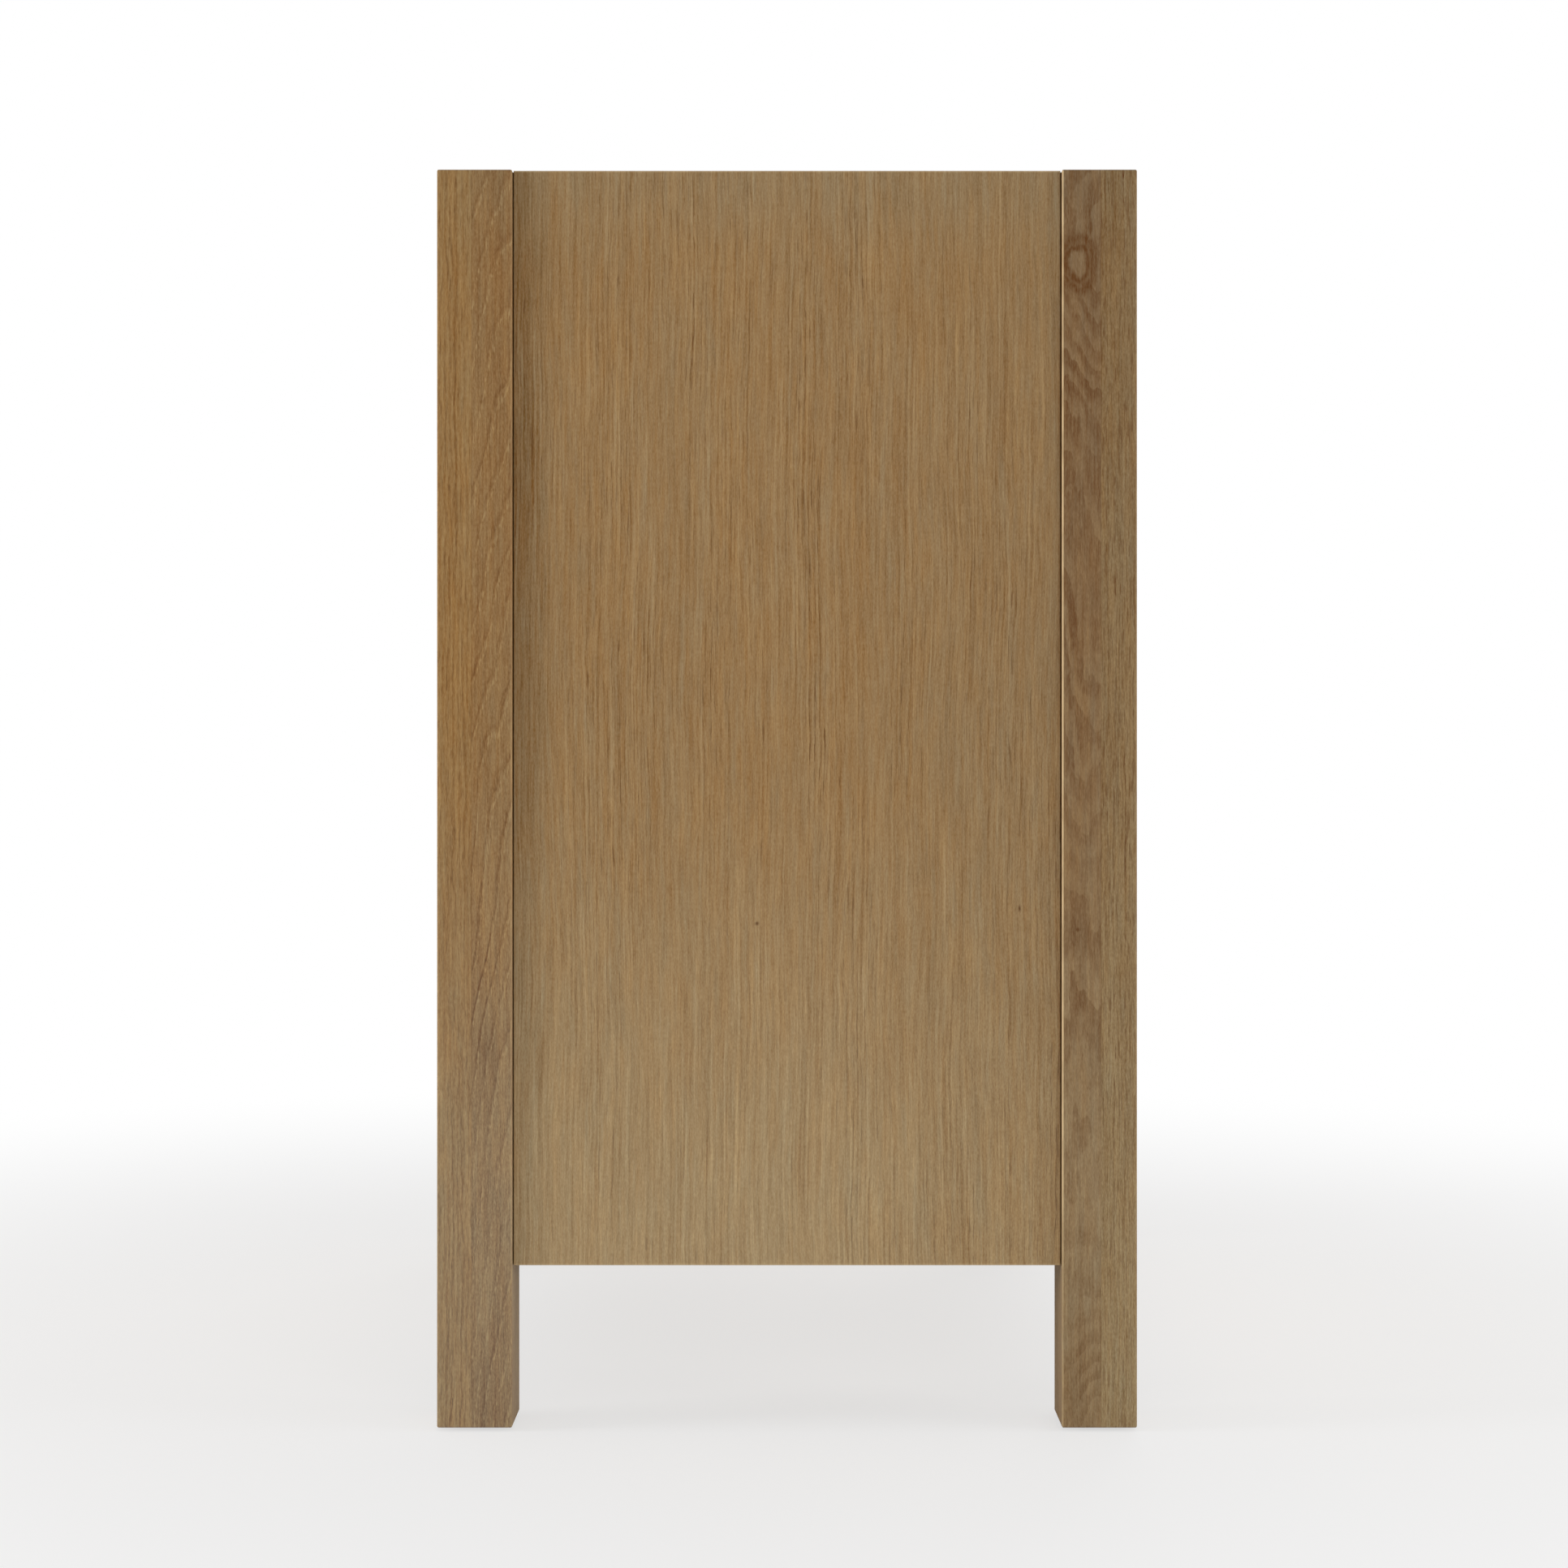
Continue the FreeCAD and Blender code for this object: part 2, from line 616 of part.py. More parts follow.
def cut_rail_seats(rail, where):
    seat, way, _ = hinge_seats()[where]
    plate, overcut = from_sheet("plate_thick"), from_sheet("overcut")
    for name, side in SIDES.items():
        extrude(rail, "Pocket", f"{name}_plate_seat", "Z", span(seat + overcut * way, seat - plate * way),
                draw_plate(side, from_sheet("fit_gap")))
        cut_pilots(rail, f"{name}_plate_pilots", "small_screw", "Z",
                   seat - from_sheet("small_screw_head_height") * way, -way, plate_screw_spots(side))


def make_rails():
    fit, overcut = from_sheet("fit_gap"), from_sheet("overcut")
    long_tenon = Place.post_x + from_sheet("tenon_length")
    rails = {}
    for name, (end, low, high, shoulder) in rail_levels().items():
        rail = board(name, span(-Place.post_x, Place.post_x), rail_depth(end), (low, high))
        round_edges(rail, "eased", from_sheet("board_ease"),
                    lambda start, finish: runs_along("x", start, finish))
        add_block(rail, "tenons", span(-long_tenon, long_tenon), tenon_depth(end),
                  (low + shoulder, high - shoulder))
        rails[name] = rail

    cut_rail_seats(rails["top_front_rail"], "top")
    cut_rail_seats(rails["middle_front_rail"], "bottom")
    cut_pilots(rails["top_front_rail"], "stop_pilots", "batten_screw", "Y",
               Place.rail_back_y + from_sheet("stop_width"), -1, stop_screw_spots())

    full = span(-Place.post_x - overcut, Place.post_x + overcut)
    groove = around(Place.back_middle_y, from_sheet("back_panel_thick") + fit * 2)
    depth = from_sheet("back_groove")
    cut_block(rails["wall_rail"], "panel_groove", full, groove,
              (Place.wall_rail_low - overcut, Place.wall_rail_low + depth))
    cut_block(rails["bottom_back_rail"], "panel_groove", full, groove,
              (Place.back_rail_top - depth, Place.back_rail_top + overcut))
    level = Place.top - from_sheet("wall_rail_height") / 2
    apart = from_sheet("wall_hole_spacing") / 2
    cut_bores(rails["wall_rail"], "wall_holes", "Y", [(-apart, level), (apart, level)],
              from_sheet("wall_hole"), (Place.back_in_y - overcut, Place.back_out_y + overcut))


def make_back_panel():
    half = Place.post_x + from_sheet("back_groove") - from_sheet("slip_gap")
    thick = around(Place.back_middle_y, from_sheet("back_panel_thick"))
    panel = board("back_panel", span(-half, half), thick, (Place.back_panel_low, Place.back_panel_top))
    middle = (Place.middle_top + Place.wall_rail_low) / 2
    wide = around(sized(0), from_sheet("service_width"))
    cut_block(panel, "service_opening", wide, around(Place.back_middle_y, from_sheet("back_rail_thick")),
              around(middle, from_sheet("service_height")))
    round_edges(panel, "service_corners", from_sheet("service_radius"),
                lambda start, finish: near(abs(start.x), wide[1]) and runs_along("y", start, finish))


def make_floor_and_divider():
    fit, slip, overcut = from_sheet("fit_gap"), from_sheet("slip_gap"), from_sheet("overcut")
    side, post = Place.panel_in_x, Place.post_x - fit
    notch = Place.post_y - fit
    right = [(post, Place.rail_back_y), (post, -notch), (side, -notch), (side, notch), (post, notch),
             (post, Place.back_in_y)]
    left = [(-x, y) for x, y in reversed(right)]
    length = from_sheet("dowel_length") - from_sheet("dowel_depth") + slip
    for label, top in {"cabinet_floor": Place.floor_top, "drawer_divider": Place.middle_top}.items():
        level = top - from_sheet("board_thick")
        shelf = new_body(label)
        extrude(shelf, "Pad", "board", "Z", (level, top), lambda sketch: draw_outline(sketch, right + left))
        spots = [spot for spot in dowel_spots() if level.value < spot[1].value < top.value]
        for name, way in SIDES.items():
            cut_bores(shelf, f"{name}_dowel_bores", "X", spots, clear(from_sheet("dowel_diameter")),
                      span((side - length) * way, (side + overcut) * way))


def make_dowels():
    tip = Place.panel_in_x + from_sheet("dowel_depth")
    dowels = new_body("carcass_dowels")
    for name, side in SIDES.items():
        add_pegs(dowels, f"{name}_dowels", "X", dowel_spots(), from_sheet("dowel_diameter"),
                 span((tip - from_sheet("dowel_length")) * side, tip * side))


def make_loose_shelf():
    half = Place.panel_in_x - from_sheet("shelf_play")
    deep = (Place.shelf_front, Place.shelf_front + from_sheet("shelf_depth"))
    shelf = board("loose_shelf", span(-half, half), deep,
                  (Place.shelf_low, Place.shelf_low + from_sheet("shelf_thick")))
    round_edges(shelf, "eased", from_sheet("board_ease"), lambda start, finish: True)

    pins = new_body("shelf_pins")
    spots = [(row, Place.pin_z) for row in pin_rows()]
    tip = Place.panel_in_x - from_sheet("pin_reach")
    end = Place.panel_in_x + from_sheet("pin_depth")
    for name, side in SIDES.items():
        add_pegs(pins, f"{name}_pins", "X", spots, from_sheet("pin_diameter"), span(tip * side, end * side))


def make_battens():
    overcut = from_sheet("overcut")
    low = Place.top - from_sheet("batten_height")
    inside = Place.panel_in_x - from_sheet("batten_width")
    middle = Place.panel_in_x - from_sheet("batten_width") / 2
    apart = from_sheet("worktop_hole_spacing") / 2
    groups = []
    for name, side in SIDES.items():
        batten = board(f"{name}_top_batten", span(inside * side, Place.panel_in_x * side),
                       span(-Place.post_y, Place.post_y), (low, Place.top))
        cut_bores(batten, "worktop_holes", "Z", [(middle * side, -apart), (middle * side, apart)],
                  from_sheet("worktop_hole"), (low - overcut, Place.top + overcut))
        cut_pilots(batten, "screw_holes", "batten_screw", "X", inside * side, side, batten_screw_spots())
        groups.append((inside * side, side, batten_screw_spots()))
    screws("batten_screws", "batten_screw", "X", groups)


def make_door_stop():
    slip, overcut = from_sheet("slip_gap"), from_sheet("overcut")
    low = Place.top_low - from_sheet("stop_drop")
    back = Place.rail_back_y + from_sheet("stop_width")
    spots = [(from_sheet("magnet_offset") * side, Place.catch_z) for side in SIDES.values()]
    length = from_sheet("magnet_length")
    stop = board("door_stop_batten", span(-Place.post_x, Place.post_x), (Place.rail_back_y, back),
                 (low, low + from_sheet("stop_height")))
    cut_bores(stop, "magnet_bores", "Y", spots, clear(from_sheet("magnet_diameter")),
              (Place.rail_back_y - overcut, Place.rail_back_y + length + slip))
    cut_pilots(stop, "screw_holes", "batten_screw", "Y", back, -1, stop_screw_spots())
    screws("stop_batten_screws", "batten_screw", "Y", [(back, -1, stop_screw_spots())])

    magnets = new_body("door_magnets")
    add_pegs(magnets, "magnets", "Y", spots, from_sheet("magnet_diameter"),
             (Place.rail_back_y, Place.rail_back_y + length))


def make_hinges():
    plate, overcut = from_sheet("plate_thick"), from_sheet("overcut")
    through = plate + overcut
    head, head_height = clear(from_sheet("small_screw_head")), from_sheet("small_screw_head_height")
    shank = clear(from_sheet("small_screw_diameter"))
    pins = new_body("hinge_pin_plates")
    rail_groups, washer_spots = [], []
    for name, side in SIDES.items():
        hinge = [(Place.hinge_x * side, Place.hinge_y)]
        sockets = new_body(f"{name}_hinge_socket_plates")
        door_groups = []
        for where, (seat, way, edge) in hinge_seats().items():
            spots = plate_screw_spots(side)
            hand = f"{name}_{where}"
            extrude(pins, "Pad", f"{hand}_plate", "Z", span(seat, seat - plate * way), draw_plate(side))
            cut_bores(pins, f"{hand}_heads", "Z", spots, head,
                      span(seat + overcut * way, seat - head_height * way))
            cut_bores(pins, f"{hand}_shanks", "Z", spots, shank, span(seat, seat - through * way))
            add_pegs(pins, f"{hand}_pin", "Z", hinge, from_sheet("pivot_diameter"),
                     span(seat, edge + from_sheet("pivot_reach") * way))
            rail_groups.append((seat - head_height * way, -way, spots))

            extrude(sockets, "Pad", f"{where}_plate", "Z", span(edge, edge + plate * way), draw_plate(side))
            cut_bores(sockets, f"{where}_socket", "Z", hinge,
                      from_sheet("pivot_diameter") + from_sheet("pivot_gap") * 2,
                      span(edge - overcut * way, edge + through * way))
            cut_bores(sockets, f"{where}_heads", "Z", spots, head,
                      span(edge - overcut * way, edge + head_height * way))
            cut_bores(sockets, f"{where}_shanks", "Z", spots, shank, span(edge, edge + through * way))
            door_groups.append((edge + head_height * way, way, spots))
        screws(f"{name}_socket_screws", "small_screw", "Z", door_groups)
        washer_spots += hinge
    screws("pin_plate_screws", "small_screw", "Z", rail_groups)

    washers = new_body("hinge_washers")
    thick = (Place.middle_top, Place.door_low - from_sheet("washer_gap"))
    add_pegs(washers, "rings", "Z", washer_spots, from_sheet("washer_diameter"), thick)
    cut_bores(washers, "holes", "Z", washer_spots, clear(from_sheet("pivot_diameter")),
              (thick[0] - overcut, thick[1] + overcut))


def finish_y(point):
    """The face that a point of a door or drawer front is nearer to, front or back."""
    return min(Place.face_y, Place.inner_y, key=lambda face: abs(point.y - face.value))


def bumper_spots(side):
    """The bumpers of one door, in X and Z."""
    inset = from_sheet("bumper_inset")
    return [((from_sheet("magnet_offset") + inset) * side, Place.catch_z),
            ((Place.hinge_x - inset) * side, Place.catch_z)]


def make_doors():
    fit, slip, overcut = from_sheet("fit_gap"), from_sheet("slip_gap"), from_sheet("overcut")
    plate = from_sheet("plate_thick")
    deep = (Place.face_y, Place.inner_y)
    notch_width = from_sheet("finger_notch_depth") * 2
    notch_end = (from_sheet("finger_notch_length") - notch_width) / 2
    hinge_edge, free_edge = Place.post_x - from_sheet("reveal"), from_sheet("reveal") / 2
    nose = (from_sheet("board_thick") - from_sheet("nose_flat")) / 2
    for name, side in SIDES.items():
        door = board(f"{name}_door", span(free_edge * side, hinge_edge * side), deep,
                     (Place.door_low, Place.door_top))
        round_edges(door, "hinge_nose", nose, lambda start, finish: runs_along("z", start, finish)
                    and near(start.x, hinge_edge * side))
        extrude(door, "Pocket", "finger_notch", "Y", (Place.face_y - overcut, Place.inner_y + overcut),
                lambda sketch: draw_slot(sketch, (sized(0), Place.door_middle - notch_end),
                                         (sized(0), Place.door_middle + notch_end), notch_width))
        flat_front = (hinge_edge - nose - overcut).value
        round_edges(door, "eased", from_sheet("board_ease"),
                    lambda start, finish: near(start.y, finish_y(start)) and near(finish.y, finish_y(start))
                    and min(abs(start.x), abs(finish.x)) < flat_front)

        strike = [(from_sheet("magnet_offset") * side, Place.catch_z)]
        thick = from_sheet("strike_thick")
        cut_bores(door, "strike_seat", "Y", strike, clear(from_sheet("strike_diameter")),
                  (Place.inner_y - thick, Place.inner_y + overcut))
        for where, (_, way, edge) in hinge_seats().items():
            extrude(door, "Pocket", f"{where}_plate_seat", "Z",
                    span(edge - overcut * way, edge + plate * way), draw_plate(side, fit))
            reach = from_sheet("pivot_reach") + slip
            cut_bores(door, f"{where}_pin_bore", "Z", [(Place.hinge_x * side, Place.hinge_y)],
                      from_sheet("pivot_diameter") + slip * 2, span(edge, edge + reach * way))
            cut_pilots(door, f"{where}_plate_pilots", "small_screw", "Z",
                       edge + from_sheet("small_screw_head_height") * way, way, plate_screw_spots(side))

        disc = new_body(f"{name}_door_strike")
        add_pegs(disc, "disc", "Y", strike, from_sheet("strike_diameter"),
                 (Place.inner_y - thick, Place.inner_y))
        bumpers = new_body(f"{name}_door_bumpers")
        add_pegs(bumpers, "bumpers", "Y", bumper_spots(side), from_sheet("bumper_diameter"),
                 (Place.inner_y, Place.rail_back_y - from_sheet("bumper_gap")))


def channel(label, side, web_x, tip_x, half_height):
    """One member of a runner: a C channel from its web to the tips of its flanges."""
    gauge = from_sheet("runner_gauge")
    way = 1 if tip_x.value > web_x.value else -1
    inner_x, inner = web_x + gauge * way, half_height - gauge
    corners = [(web_x, half_height), (tip_x, half_height), (tip_x, inner), (inner_x, inner),
               (inner_x, -inner), (tip_x, -inner), (tip_x, -half_height), (web_x, -half_height)]
    member = new_body(label)
    extrude(member, "Pad", "channel", "Y", (Place.runner_front, Place.runner_back),
            lambda sketch: draw_outline(sketch, [(x * side, Place.runner_z + z) for x, z in corners]))
    return member


def make_runners():
    gauge, play = from_sheet("runner_gauge"), from_sheet("runner_play")
    overcut = from_sheet("overcut")
    tips = Place.box_x + gauge + play * 2
    middle_web = Place.post_x - gauge - from_sheet("runner_head_room")
    half = from_sheet("runner_height") / 2
    step = gauge + play
    outer_groups, inner_groups = [], []
    hole = clear(from_sheet("small_screw_diameter"))
    for name, side in SIDES.items():
        outer = channel(f"{name}_runner_outer", side, Place.post_x, tips, half)
        channel(f"{name}_runner_middle", side, middle_web, tips, half - step)
        inner = channel(f"{name}_runner_inner", side, Place.box_x, middle_web - gauge - play, half - step * 2)
        outer_seat, inner_seat = Place.post_x - gauge, Place.box_x + gauge
        cut_bores(outer, "screw_holes", "X", runner_screw_spots(), hole,
                  span((outer_seat - overcut) * side, (Place.post_x + overcut) * side))
        cut_bores(inner, "screw_holes", "X", runner_screw_spots(), hole,
                  span((Place.box_x - overcut) * side, (inner_seat + overcut) * side))
        outer_groups.append((outer_seat * side, side, runner_screw_spots()))
        inner_groups.append((inner_seat * side, -side, runner_screw_spots()))

        bearer = board(f"{name}_runner_bearer", span(Place.post_x * side, Place.panel_in_x * side),
                       span(-Place.post_y, Place.post_y), around(Place.runner_z, from_sheet("bearer_height")))
        cut_pilots(bearer, "runner_pilots", "small_screw", "X", outer_seat * side, side,
                   runner_screw_spots()[1:])
    screws("runner_outer_screws", "small_screw", "X", outer_groups)
    screws("runner_inner_screws", "small_screw", "X", inner_groups)


def cut_fingers(panel, name, x, y, first):
    """Every other finger of a box joint, from the first one that is cut away."""
    pitch = from_sheet("box_height") / FINGERS
    low = Place.box_low + pitch * first
    notch = cut_block(panel, name, x, y, (low, low + pitch))
    repeat(panel, notch, f"{name}_row", "Z", pitch * 2, (FINGERS - first + 1) // 2)


def make_drawer():
    fit, slip, overcut = from_sheet("fit_gap"), from_sheet("slip_gap"), from_sheet("overcut")
    thick, groove = from_sheet("box_thick"), from_sheet("box_groove")
    inside_x = Place.box_x - thick
    box_z = (Place.box_low, Place.box_top)
    ends = {"drawer_box_front": (Place.inner_y, Place.inner_y + thick),
            "drawer_box_back": (Place.box_back - thick, Place.box_back)}
    groove_x = inside_x + groove
    groove_front, groove_back = Place.inner_y + thick - groove, Place.box_back - thick + groove
    groove_z = (Place.box_bottom_low - fit, Place.box_bottom_low + from_sheet("box_bottom_thick") + fit)

    for name, side in SIDES.items():
        wall = board(f"drawer_{name}_side", span(inside_x * side, Place.box_x * side),
                     (Place.inner_y, Place.box_back), box_z)
        wide = span((inside_x - overcut) * side, (Place.box_x + overcut) * side)
        cut_fingers(wall, "front_fingers", wide, (Place.inner_y - overcut, Place.inner_y + thick), 1)
        cut_fingers(wall, "back_fingers", wide, (Place.box_back - thick, Place.box_back + overcut), 1)
        cut_block(wall, "bottom_groove", span((inside_x - overcut) * side, groove_x * side),
                  (groove_front, groove_back), groove_z)
        seat = (Place.box_x + from_sheet("runner_gauge")) * side
        cut_pilots(wall, "runner_pilots", "small_screw", "X", seat, -side, runner_screw_spots())

    for label, (front, back) in ends.items():
        wall = board(label, span(-Place.box_x, Place.box_x), (front, back), box_z)
        for name, side in SIDES.items():
            cut_fingers(wall, f"{name}_fingers", span(inside_x * side, (Place.box_x + overcut) * side),
                        (front - overcut, back + overcut), 0)
        if label == "drawer_box_front":
            mouth = (groove_front, back + overcut)
            cut_pilots(wall, "screw_holes", "front_screw", "Y", back, -1, front_screw_spots())
        else:
            mouth = (front - overcut, groove_back)
        cut_block(wall, "bottom_groove", span(-groove_x, groove_x), mouth, groove_z)

    bottom_x = groove_x - slip
    board("drawer_bottom", span(-bottom_x, bottom_x), (groove_front + slip, groove_back - slip),
          (groove_z[0] + fit, groove_z[1] - fit))

    half = Place.post_x - from_sheet("reveal")
    front = board("drawer_front", span(-half, half), (Place.face_y, Place.inner_y),
                  (Place.front_low, Place.front_top))
    scoop = from_sheet("scoop_depth") * 2
    scoop_end = (from_sheet("scoop_width") - scoop) / 2
    extrude(front, "Pocket", "finger_scoop", "Y", (Place.face_y - overcut, Place.inner_y + overcut),
            lambda sketch: draw_slot(sketch, (-scoop_end, Place.front_top),
                                     (scoop_end, Place.front_top), scoop))
    round_edges(front, "eased", from_sheet("board_ease"),
                lambda start, finish: near(start.y, finish_y(start)) and near(finish.y, finish_y(start)))
    seat = Place.inner_y + thick
    cut_pilots(front, "screw_pilots", "front_screw", "Y", seat, -1, front_screw_spots())
    screws("drawer_front_screws", "front_screw", "Y", [(seat, -1, front_screw_spots())])


def check_and_export():
    """Stops at a failed feature or a cut that took nothing away, then writes each body as a STEP file."""
    doc.recompute()
    for item in doc.Objects:
        if "Invalid" in item.State or "Error" in item.State:
            raise RuntimeError(f"{item.Label} of {item.getParentGeoFeatureGroup().Label}: {item.State}")
        if item.TypeId == "PartDesign::Pocket" and item.Shape.Volume >= item.BaseFeature.Shape.Volume:
            raise RuntimeError(f"{item.Label} of {item.getParentGeoFeatureGroup().Label} cuts nothing")
    os.makedirs("parts", exist_ok=True)
    for body in doc.findObjects("PartDesign::Body"):
        if body.Shape.isNull() or not body.Shape.isValid():
            raise RuntimeError(f"{body.Label} has no valid shape")
        body.Shape.exportStep(f"parts/{body.Label}.step")
        print(body.Label, len(body.Shape.Solids), round(body.Shape.Volume))


make_posts()
make_glides()
make_side_panels()
make_rails()
make_back_panel()
make_floor_and_divider()
make_dowels()
make_loose_shelf()
make_battens()
make_door_stop()
make_hinges()
make_doors()
make_runners()
make_drawer()
check_and_export()
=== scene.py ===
import math

import bpy
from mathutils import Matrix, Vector


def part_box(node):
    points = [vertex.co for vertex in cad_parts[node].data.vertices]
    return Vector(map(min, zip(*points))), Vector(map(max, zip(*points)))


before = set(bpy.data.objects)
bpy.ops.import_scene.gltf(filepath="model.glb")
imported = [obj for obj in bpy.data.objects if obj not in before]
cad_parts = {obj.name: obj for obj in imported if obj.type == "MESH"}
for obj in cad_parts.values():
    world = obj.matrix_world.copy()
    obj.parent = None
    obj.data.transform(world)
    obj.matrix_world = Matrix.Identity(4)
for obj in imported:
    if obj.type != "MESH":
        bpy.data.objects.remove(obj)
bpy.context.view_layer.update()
bpy.ops.object.select_all(action="DESELECT")
bpy.context.scene.view_settings.view_transform = "Standard"
print("frame loaded:", len(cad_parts), "pieces")

millimetres = 1000  # in a metre
axes = {"x": 0, "y": 1, "z": 2}


def paint(levels):
    # a colour as read off a screen, 0 to 255, made linear
    linear = []
    for level in levels:
        level = max(level, 0) / 255
        linear.append(level / 12.92 if level <= 0.04045 else ((level + 0.055) / 1.055) ** 2.4)
    return (*linear, 1)


def boxOf(node):
    low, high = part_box(node)
    return [corner * millimetres for corner in low], [corner * millimetres for corner in high]


class Wire:
    # a socket that can stand in a sum: each sign adds a Math node
    def __init__(self, nodes, socket):
        self.nodes = nodes
        self.socket = socket

    def to(self, operation, *others):
        return self.nodes.maths(operation, self, *others)

    def __add__(self, other):
        return self.to("ADD", other)

    def __sub__(self, other):
        return self.to("SUBTRACT", other)

    def __rsub__(self, other):
        return self.nodes.maths("SUBTRACT", other, self)

    def __mul__(self, other):
        return self.to("MULTIPLY", other)

    def __truediv__(self, other):
        return self.to("DIVIDE", other)

    __radd__ = __add__
    __rmul__ = __mul__

    def over(self, level):
        return self.to("GREATER_THAN", level)

    def size(self):
        return self.to("ABSOLUTE")

    def rise(self, low, high):
        # 0 below low, 1 above high and smooth between them
        return self.nodes.add("ShaderNodeMapRange", {"interpolation_type": "SMOOTHSTEP"},
                              {"Value": self, "From Min": low, "From Max": high})

    def hump(self, rise, fall):
        # 1 between the end of the rise and the start of the fall, 0 outside them
        return self.rise(*rise) * (1 - self.rise(*fall))


class Nodes:
    # adds nodes to one node tree
    def __init__(self, tree):
        self.tree = tree

    def feed(self, node, sockets):
        for key, value in sockets.items():
            if isinstance(value, Wire):
                self.tree.links.new(value.socket, node.inputs[key])
            else:
                node.inputs[key].default_value = value

    def add(self, kind, settings, sockets, output=0):
        node = self.tree.nodes.new(kind)
        for key, value in settings.items():
            setattr(node, key, value)
        self.feed(node, sockets)
        return Wire(self, node.outputs[output])

    def find(self, kind):
        return next(node for node in self.tree.nodes if node.type == kind)

    def maths(self, operation, *values):
        return self.add("ShaderNodeMath", {"operation": operation}, dict(enumerate(values)))

    def split(self, vector):
        return [self.add("ShaderNodeSeparateXYZ", {}, {0: vector}, axis) for axis in range(3)]

    def place(self):
        # where a point is, in millimetres
        return [axis * millimetres for axis in self.split(self.add("ShaderNodeTexCoord", {}, {}, "Object"))]

    def facing(self):
        return [axis.size() for axis in self.split(self.add("ShaderNodeTexCoord", {}, {}, "Normal"))]

    def noise(self, place, scale, shift=(0, 0, 0), detail=0):
        # -0.5 to 0.5, mostly within a quarter; scale is per millimetre along each axis
        scaled = [axis * fine for axis, fine in zip(place, scale)]
        shifted = [axis + move if move else axis for axis, move in zip(scaled, shift)]
        spot = self.add("ShaderNodeCombineXYZ", {}, dict(enumerate(shifted)))
        return self.add("ShaderNodeTexNoise", {}, {"Vector": spot, "Scale": 1, "Detail": detail}) - 0.5

    def layer(self, place, layer, shift=(0, 0, 0)):
        # noise as a dictionary says: 0 to 1 over its rise, or times its size
        noise = self.noise(place, layer["scale"], shift, layer.get("detail", 0))
        if "rise" in layer:
            return noise.rise(*layer["rise"])
        return noise * layer["size"] if "size" in layer else noise

    def chance(self, number):
        # one random number, 0 to 1, for each whole number
        return self.add("ShaderNodeTexWhiteNoise", {"noise_dimensions": "1D"}, {"W": number.to("FLOOR")})

    def oval(self, across, along, halfWidth, halfLength):
        # 0 in the middle of an oval, 1 on its edge and more outside
        across = across / halfWidth
        along = along / halfLength
        return (across * across + along * along).to("SQRT")

    def spot(self, *where):
        # 1 in the middle of a soft oval mark, 0 away from it
        out = self.oval(*where)
        return (-1 * out * out).to("EXPONENT")

    def mix(self, share, first, second):
        return self.add("ShaderNodeMix", {"data_type": "RGBA"}, {0: share, 6: first, 7: second}, 2)

    def tinted(self, colour, tint):
        return self.add("ShaderNodeVectorMath", {"operation": "MULTIPLY"}, {0: colour, 1: tint})

    def scaled(self, colour, factor):
        return self.add("ShaderNodeVectorMath", {"operation": "SCALE"}, {0: colour, "Scale": factor})


class Finish(Nodes):
    # one material
    def __init__(self, name, settings):
        self.material = bpy.data.materials.new(name)
        self.material.use_nodes = True
        super().__init__(self.material.node_tree)
        self.shader = self.find("BSDF_PRINCIPLED")
        self.feed(self.shader, settings)

    def bump(self, height, strength, distance):
        normal = self.add("ShaderNodeBump", {},
                          {"Height": height, "Strength": strength, "Distance": distance})
        self.feed(self.shader, {"Normal": normal})

    def coat(self, *nodes):
        for node in nodes:
            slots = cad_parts[node].data.materials
            slots.clear()
            slots.append(self.material)


# Oak: rows of open pores along the growth rings, a satin oil, pale arrises that are partly wear and partly a
# painted highlight, a painted glow of floor light low down and cooler at the very top
oak = {
    "spread": (31, 39, 52),  # levels from the usual colour to the deepest and the palest
    "pore": paint((96, 57, 18)),
    # colour of the pale arrises: partly wear, partly a painted highlight
    "worn": paint((238, 208, 160)),
    # painted floor light: the lower parts are mixed towards a pale colour, standing in for light from the
    # floor
    "paintedFloorLight": {"colour": paint((255, 244, 202)), "share": 0.13},
    "paintedFloorLightRise": (90, 490),  # heights, from the most painted floor light to the least
    "paintedFloorLightGrain": 0.45,  # how much stronger the grain stands out there
    "top": {"rise": (770, 838), "paler": 0.05, "cooler": 0.25},
    "gloss": 0.5,
    "poreGloss": 0.68,
    "specular": 0.2,
    "bump": (0.25, 0.0002),  # strength, depth in metres
    "wornLitArris": (0.7, 1.4),  # mm over which a pale edge, partly wear and partly painted highlight, fades
    "rubbed": {"scale": (0.05, 0.05, 0.05), "detail": 2, "rise": (-0.2, 0.15)},
    "leastRubbed": 0.6,
    "ringFade": 0.4,  # share of its dark band at which a ring starts to fade
    "faintestRing": 0.35,
    # streaks of tone and of tint: per mm across, per mm along, weight
    "streaks": ((0.04, 0.003, 0.02), (0.1, 0.004, 0.06), (0.2, 0.006, 0.16), (0.38, 0.01, 0.19),
                (0.9, 0.025, 0.3), (1.1, 0.1, 0.24), (1.3, 0.22, 0.25), (1.5, 0.5, 0.35)),
    "tints": ((0.02, 0.003, 0.34), (0.05, 0.01, 0.26), (0.12, 0.016, 0.32),
              (0.26, 0.025, 0.42), (0.6, 0.04, 0.5)),
    "tintSeed": 3,  # added to a piece's seed
    "cool": (0.9, 1, 1.18, 1),
    "warm": (1.1, 1, 0.82, 1),
}


def deepAndPale(colour):
    return [paint([level + way * change for level, change in zip(colour, oak["spread"])]) for way in (-1, 1)]


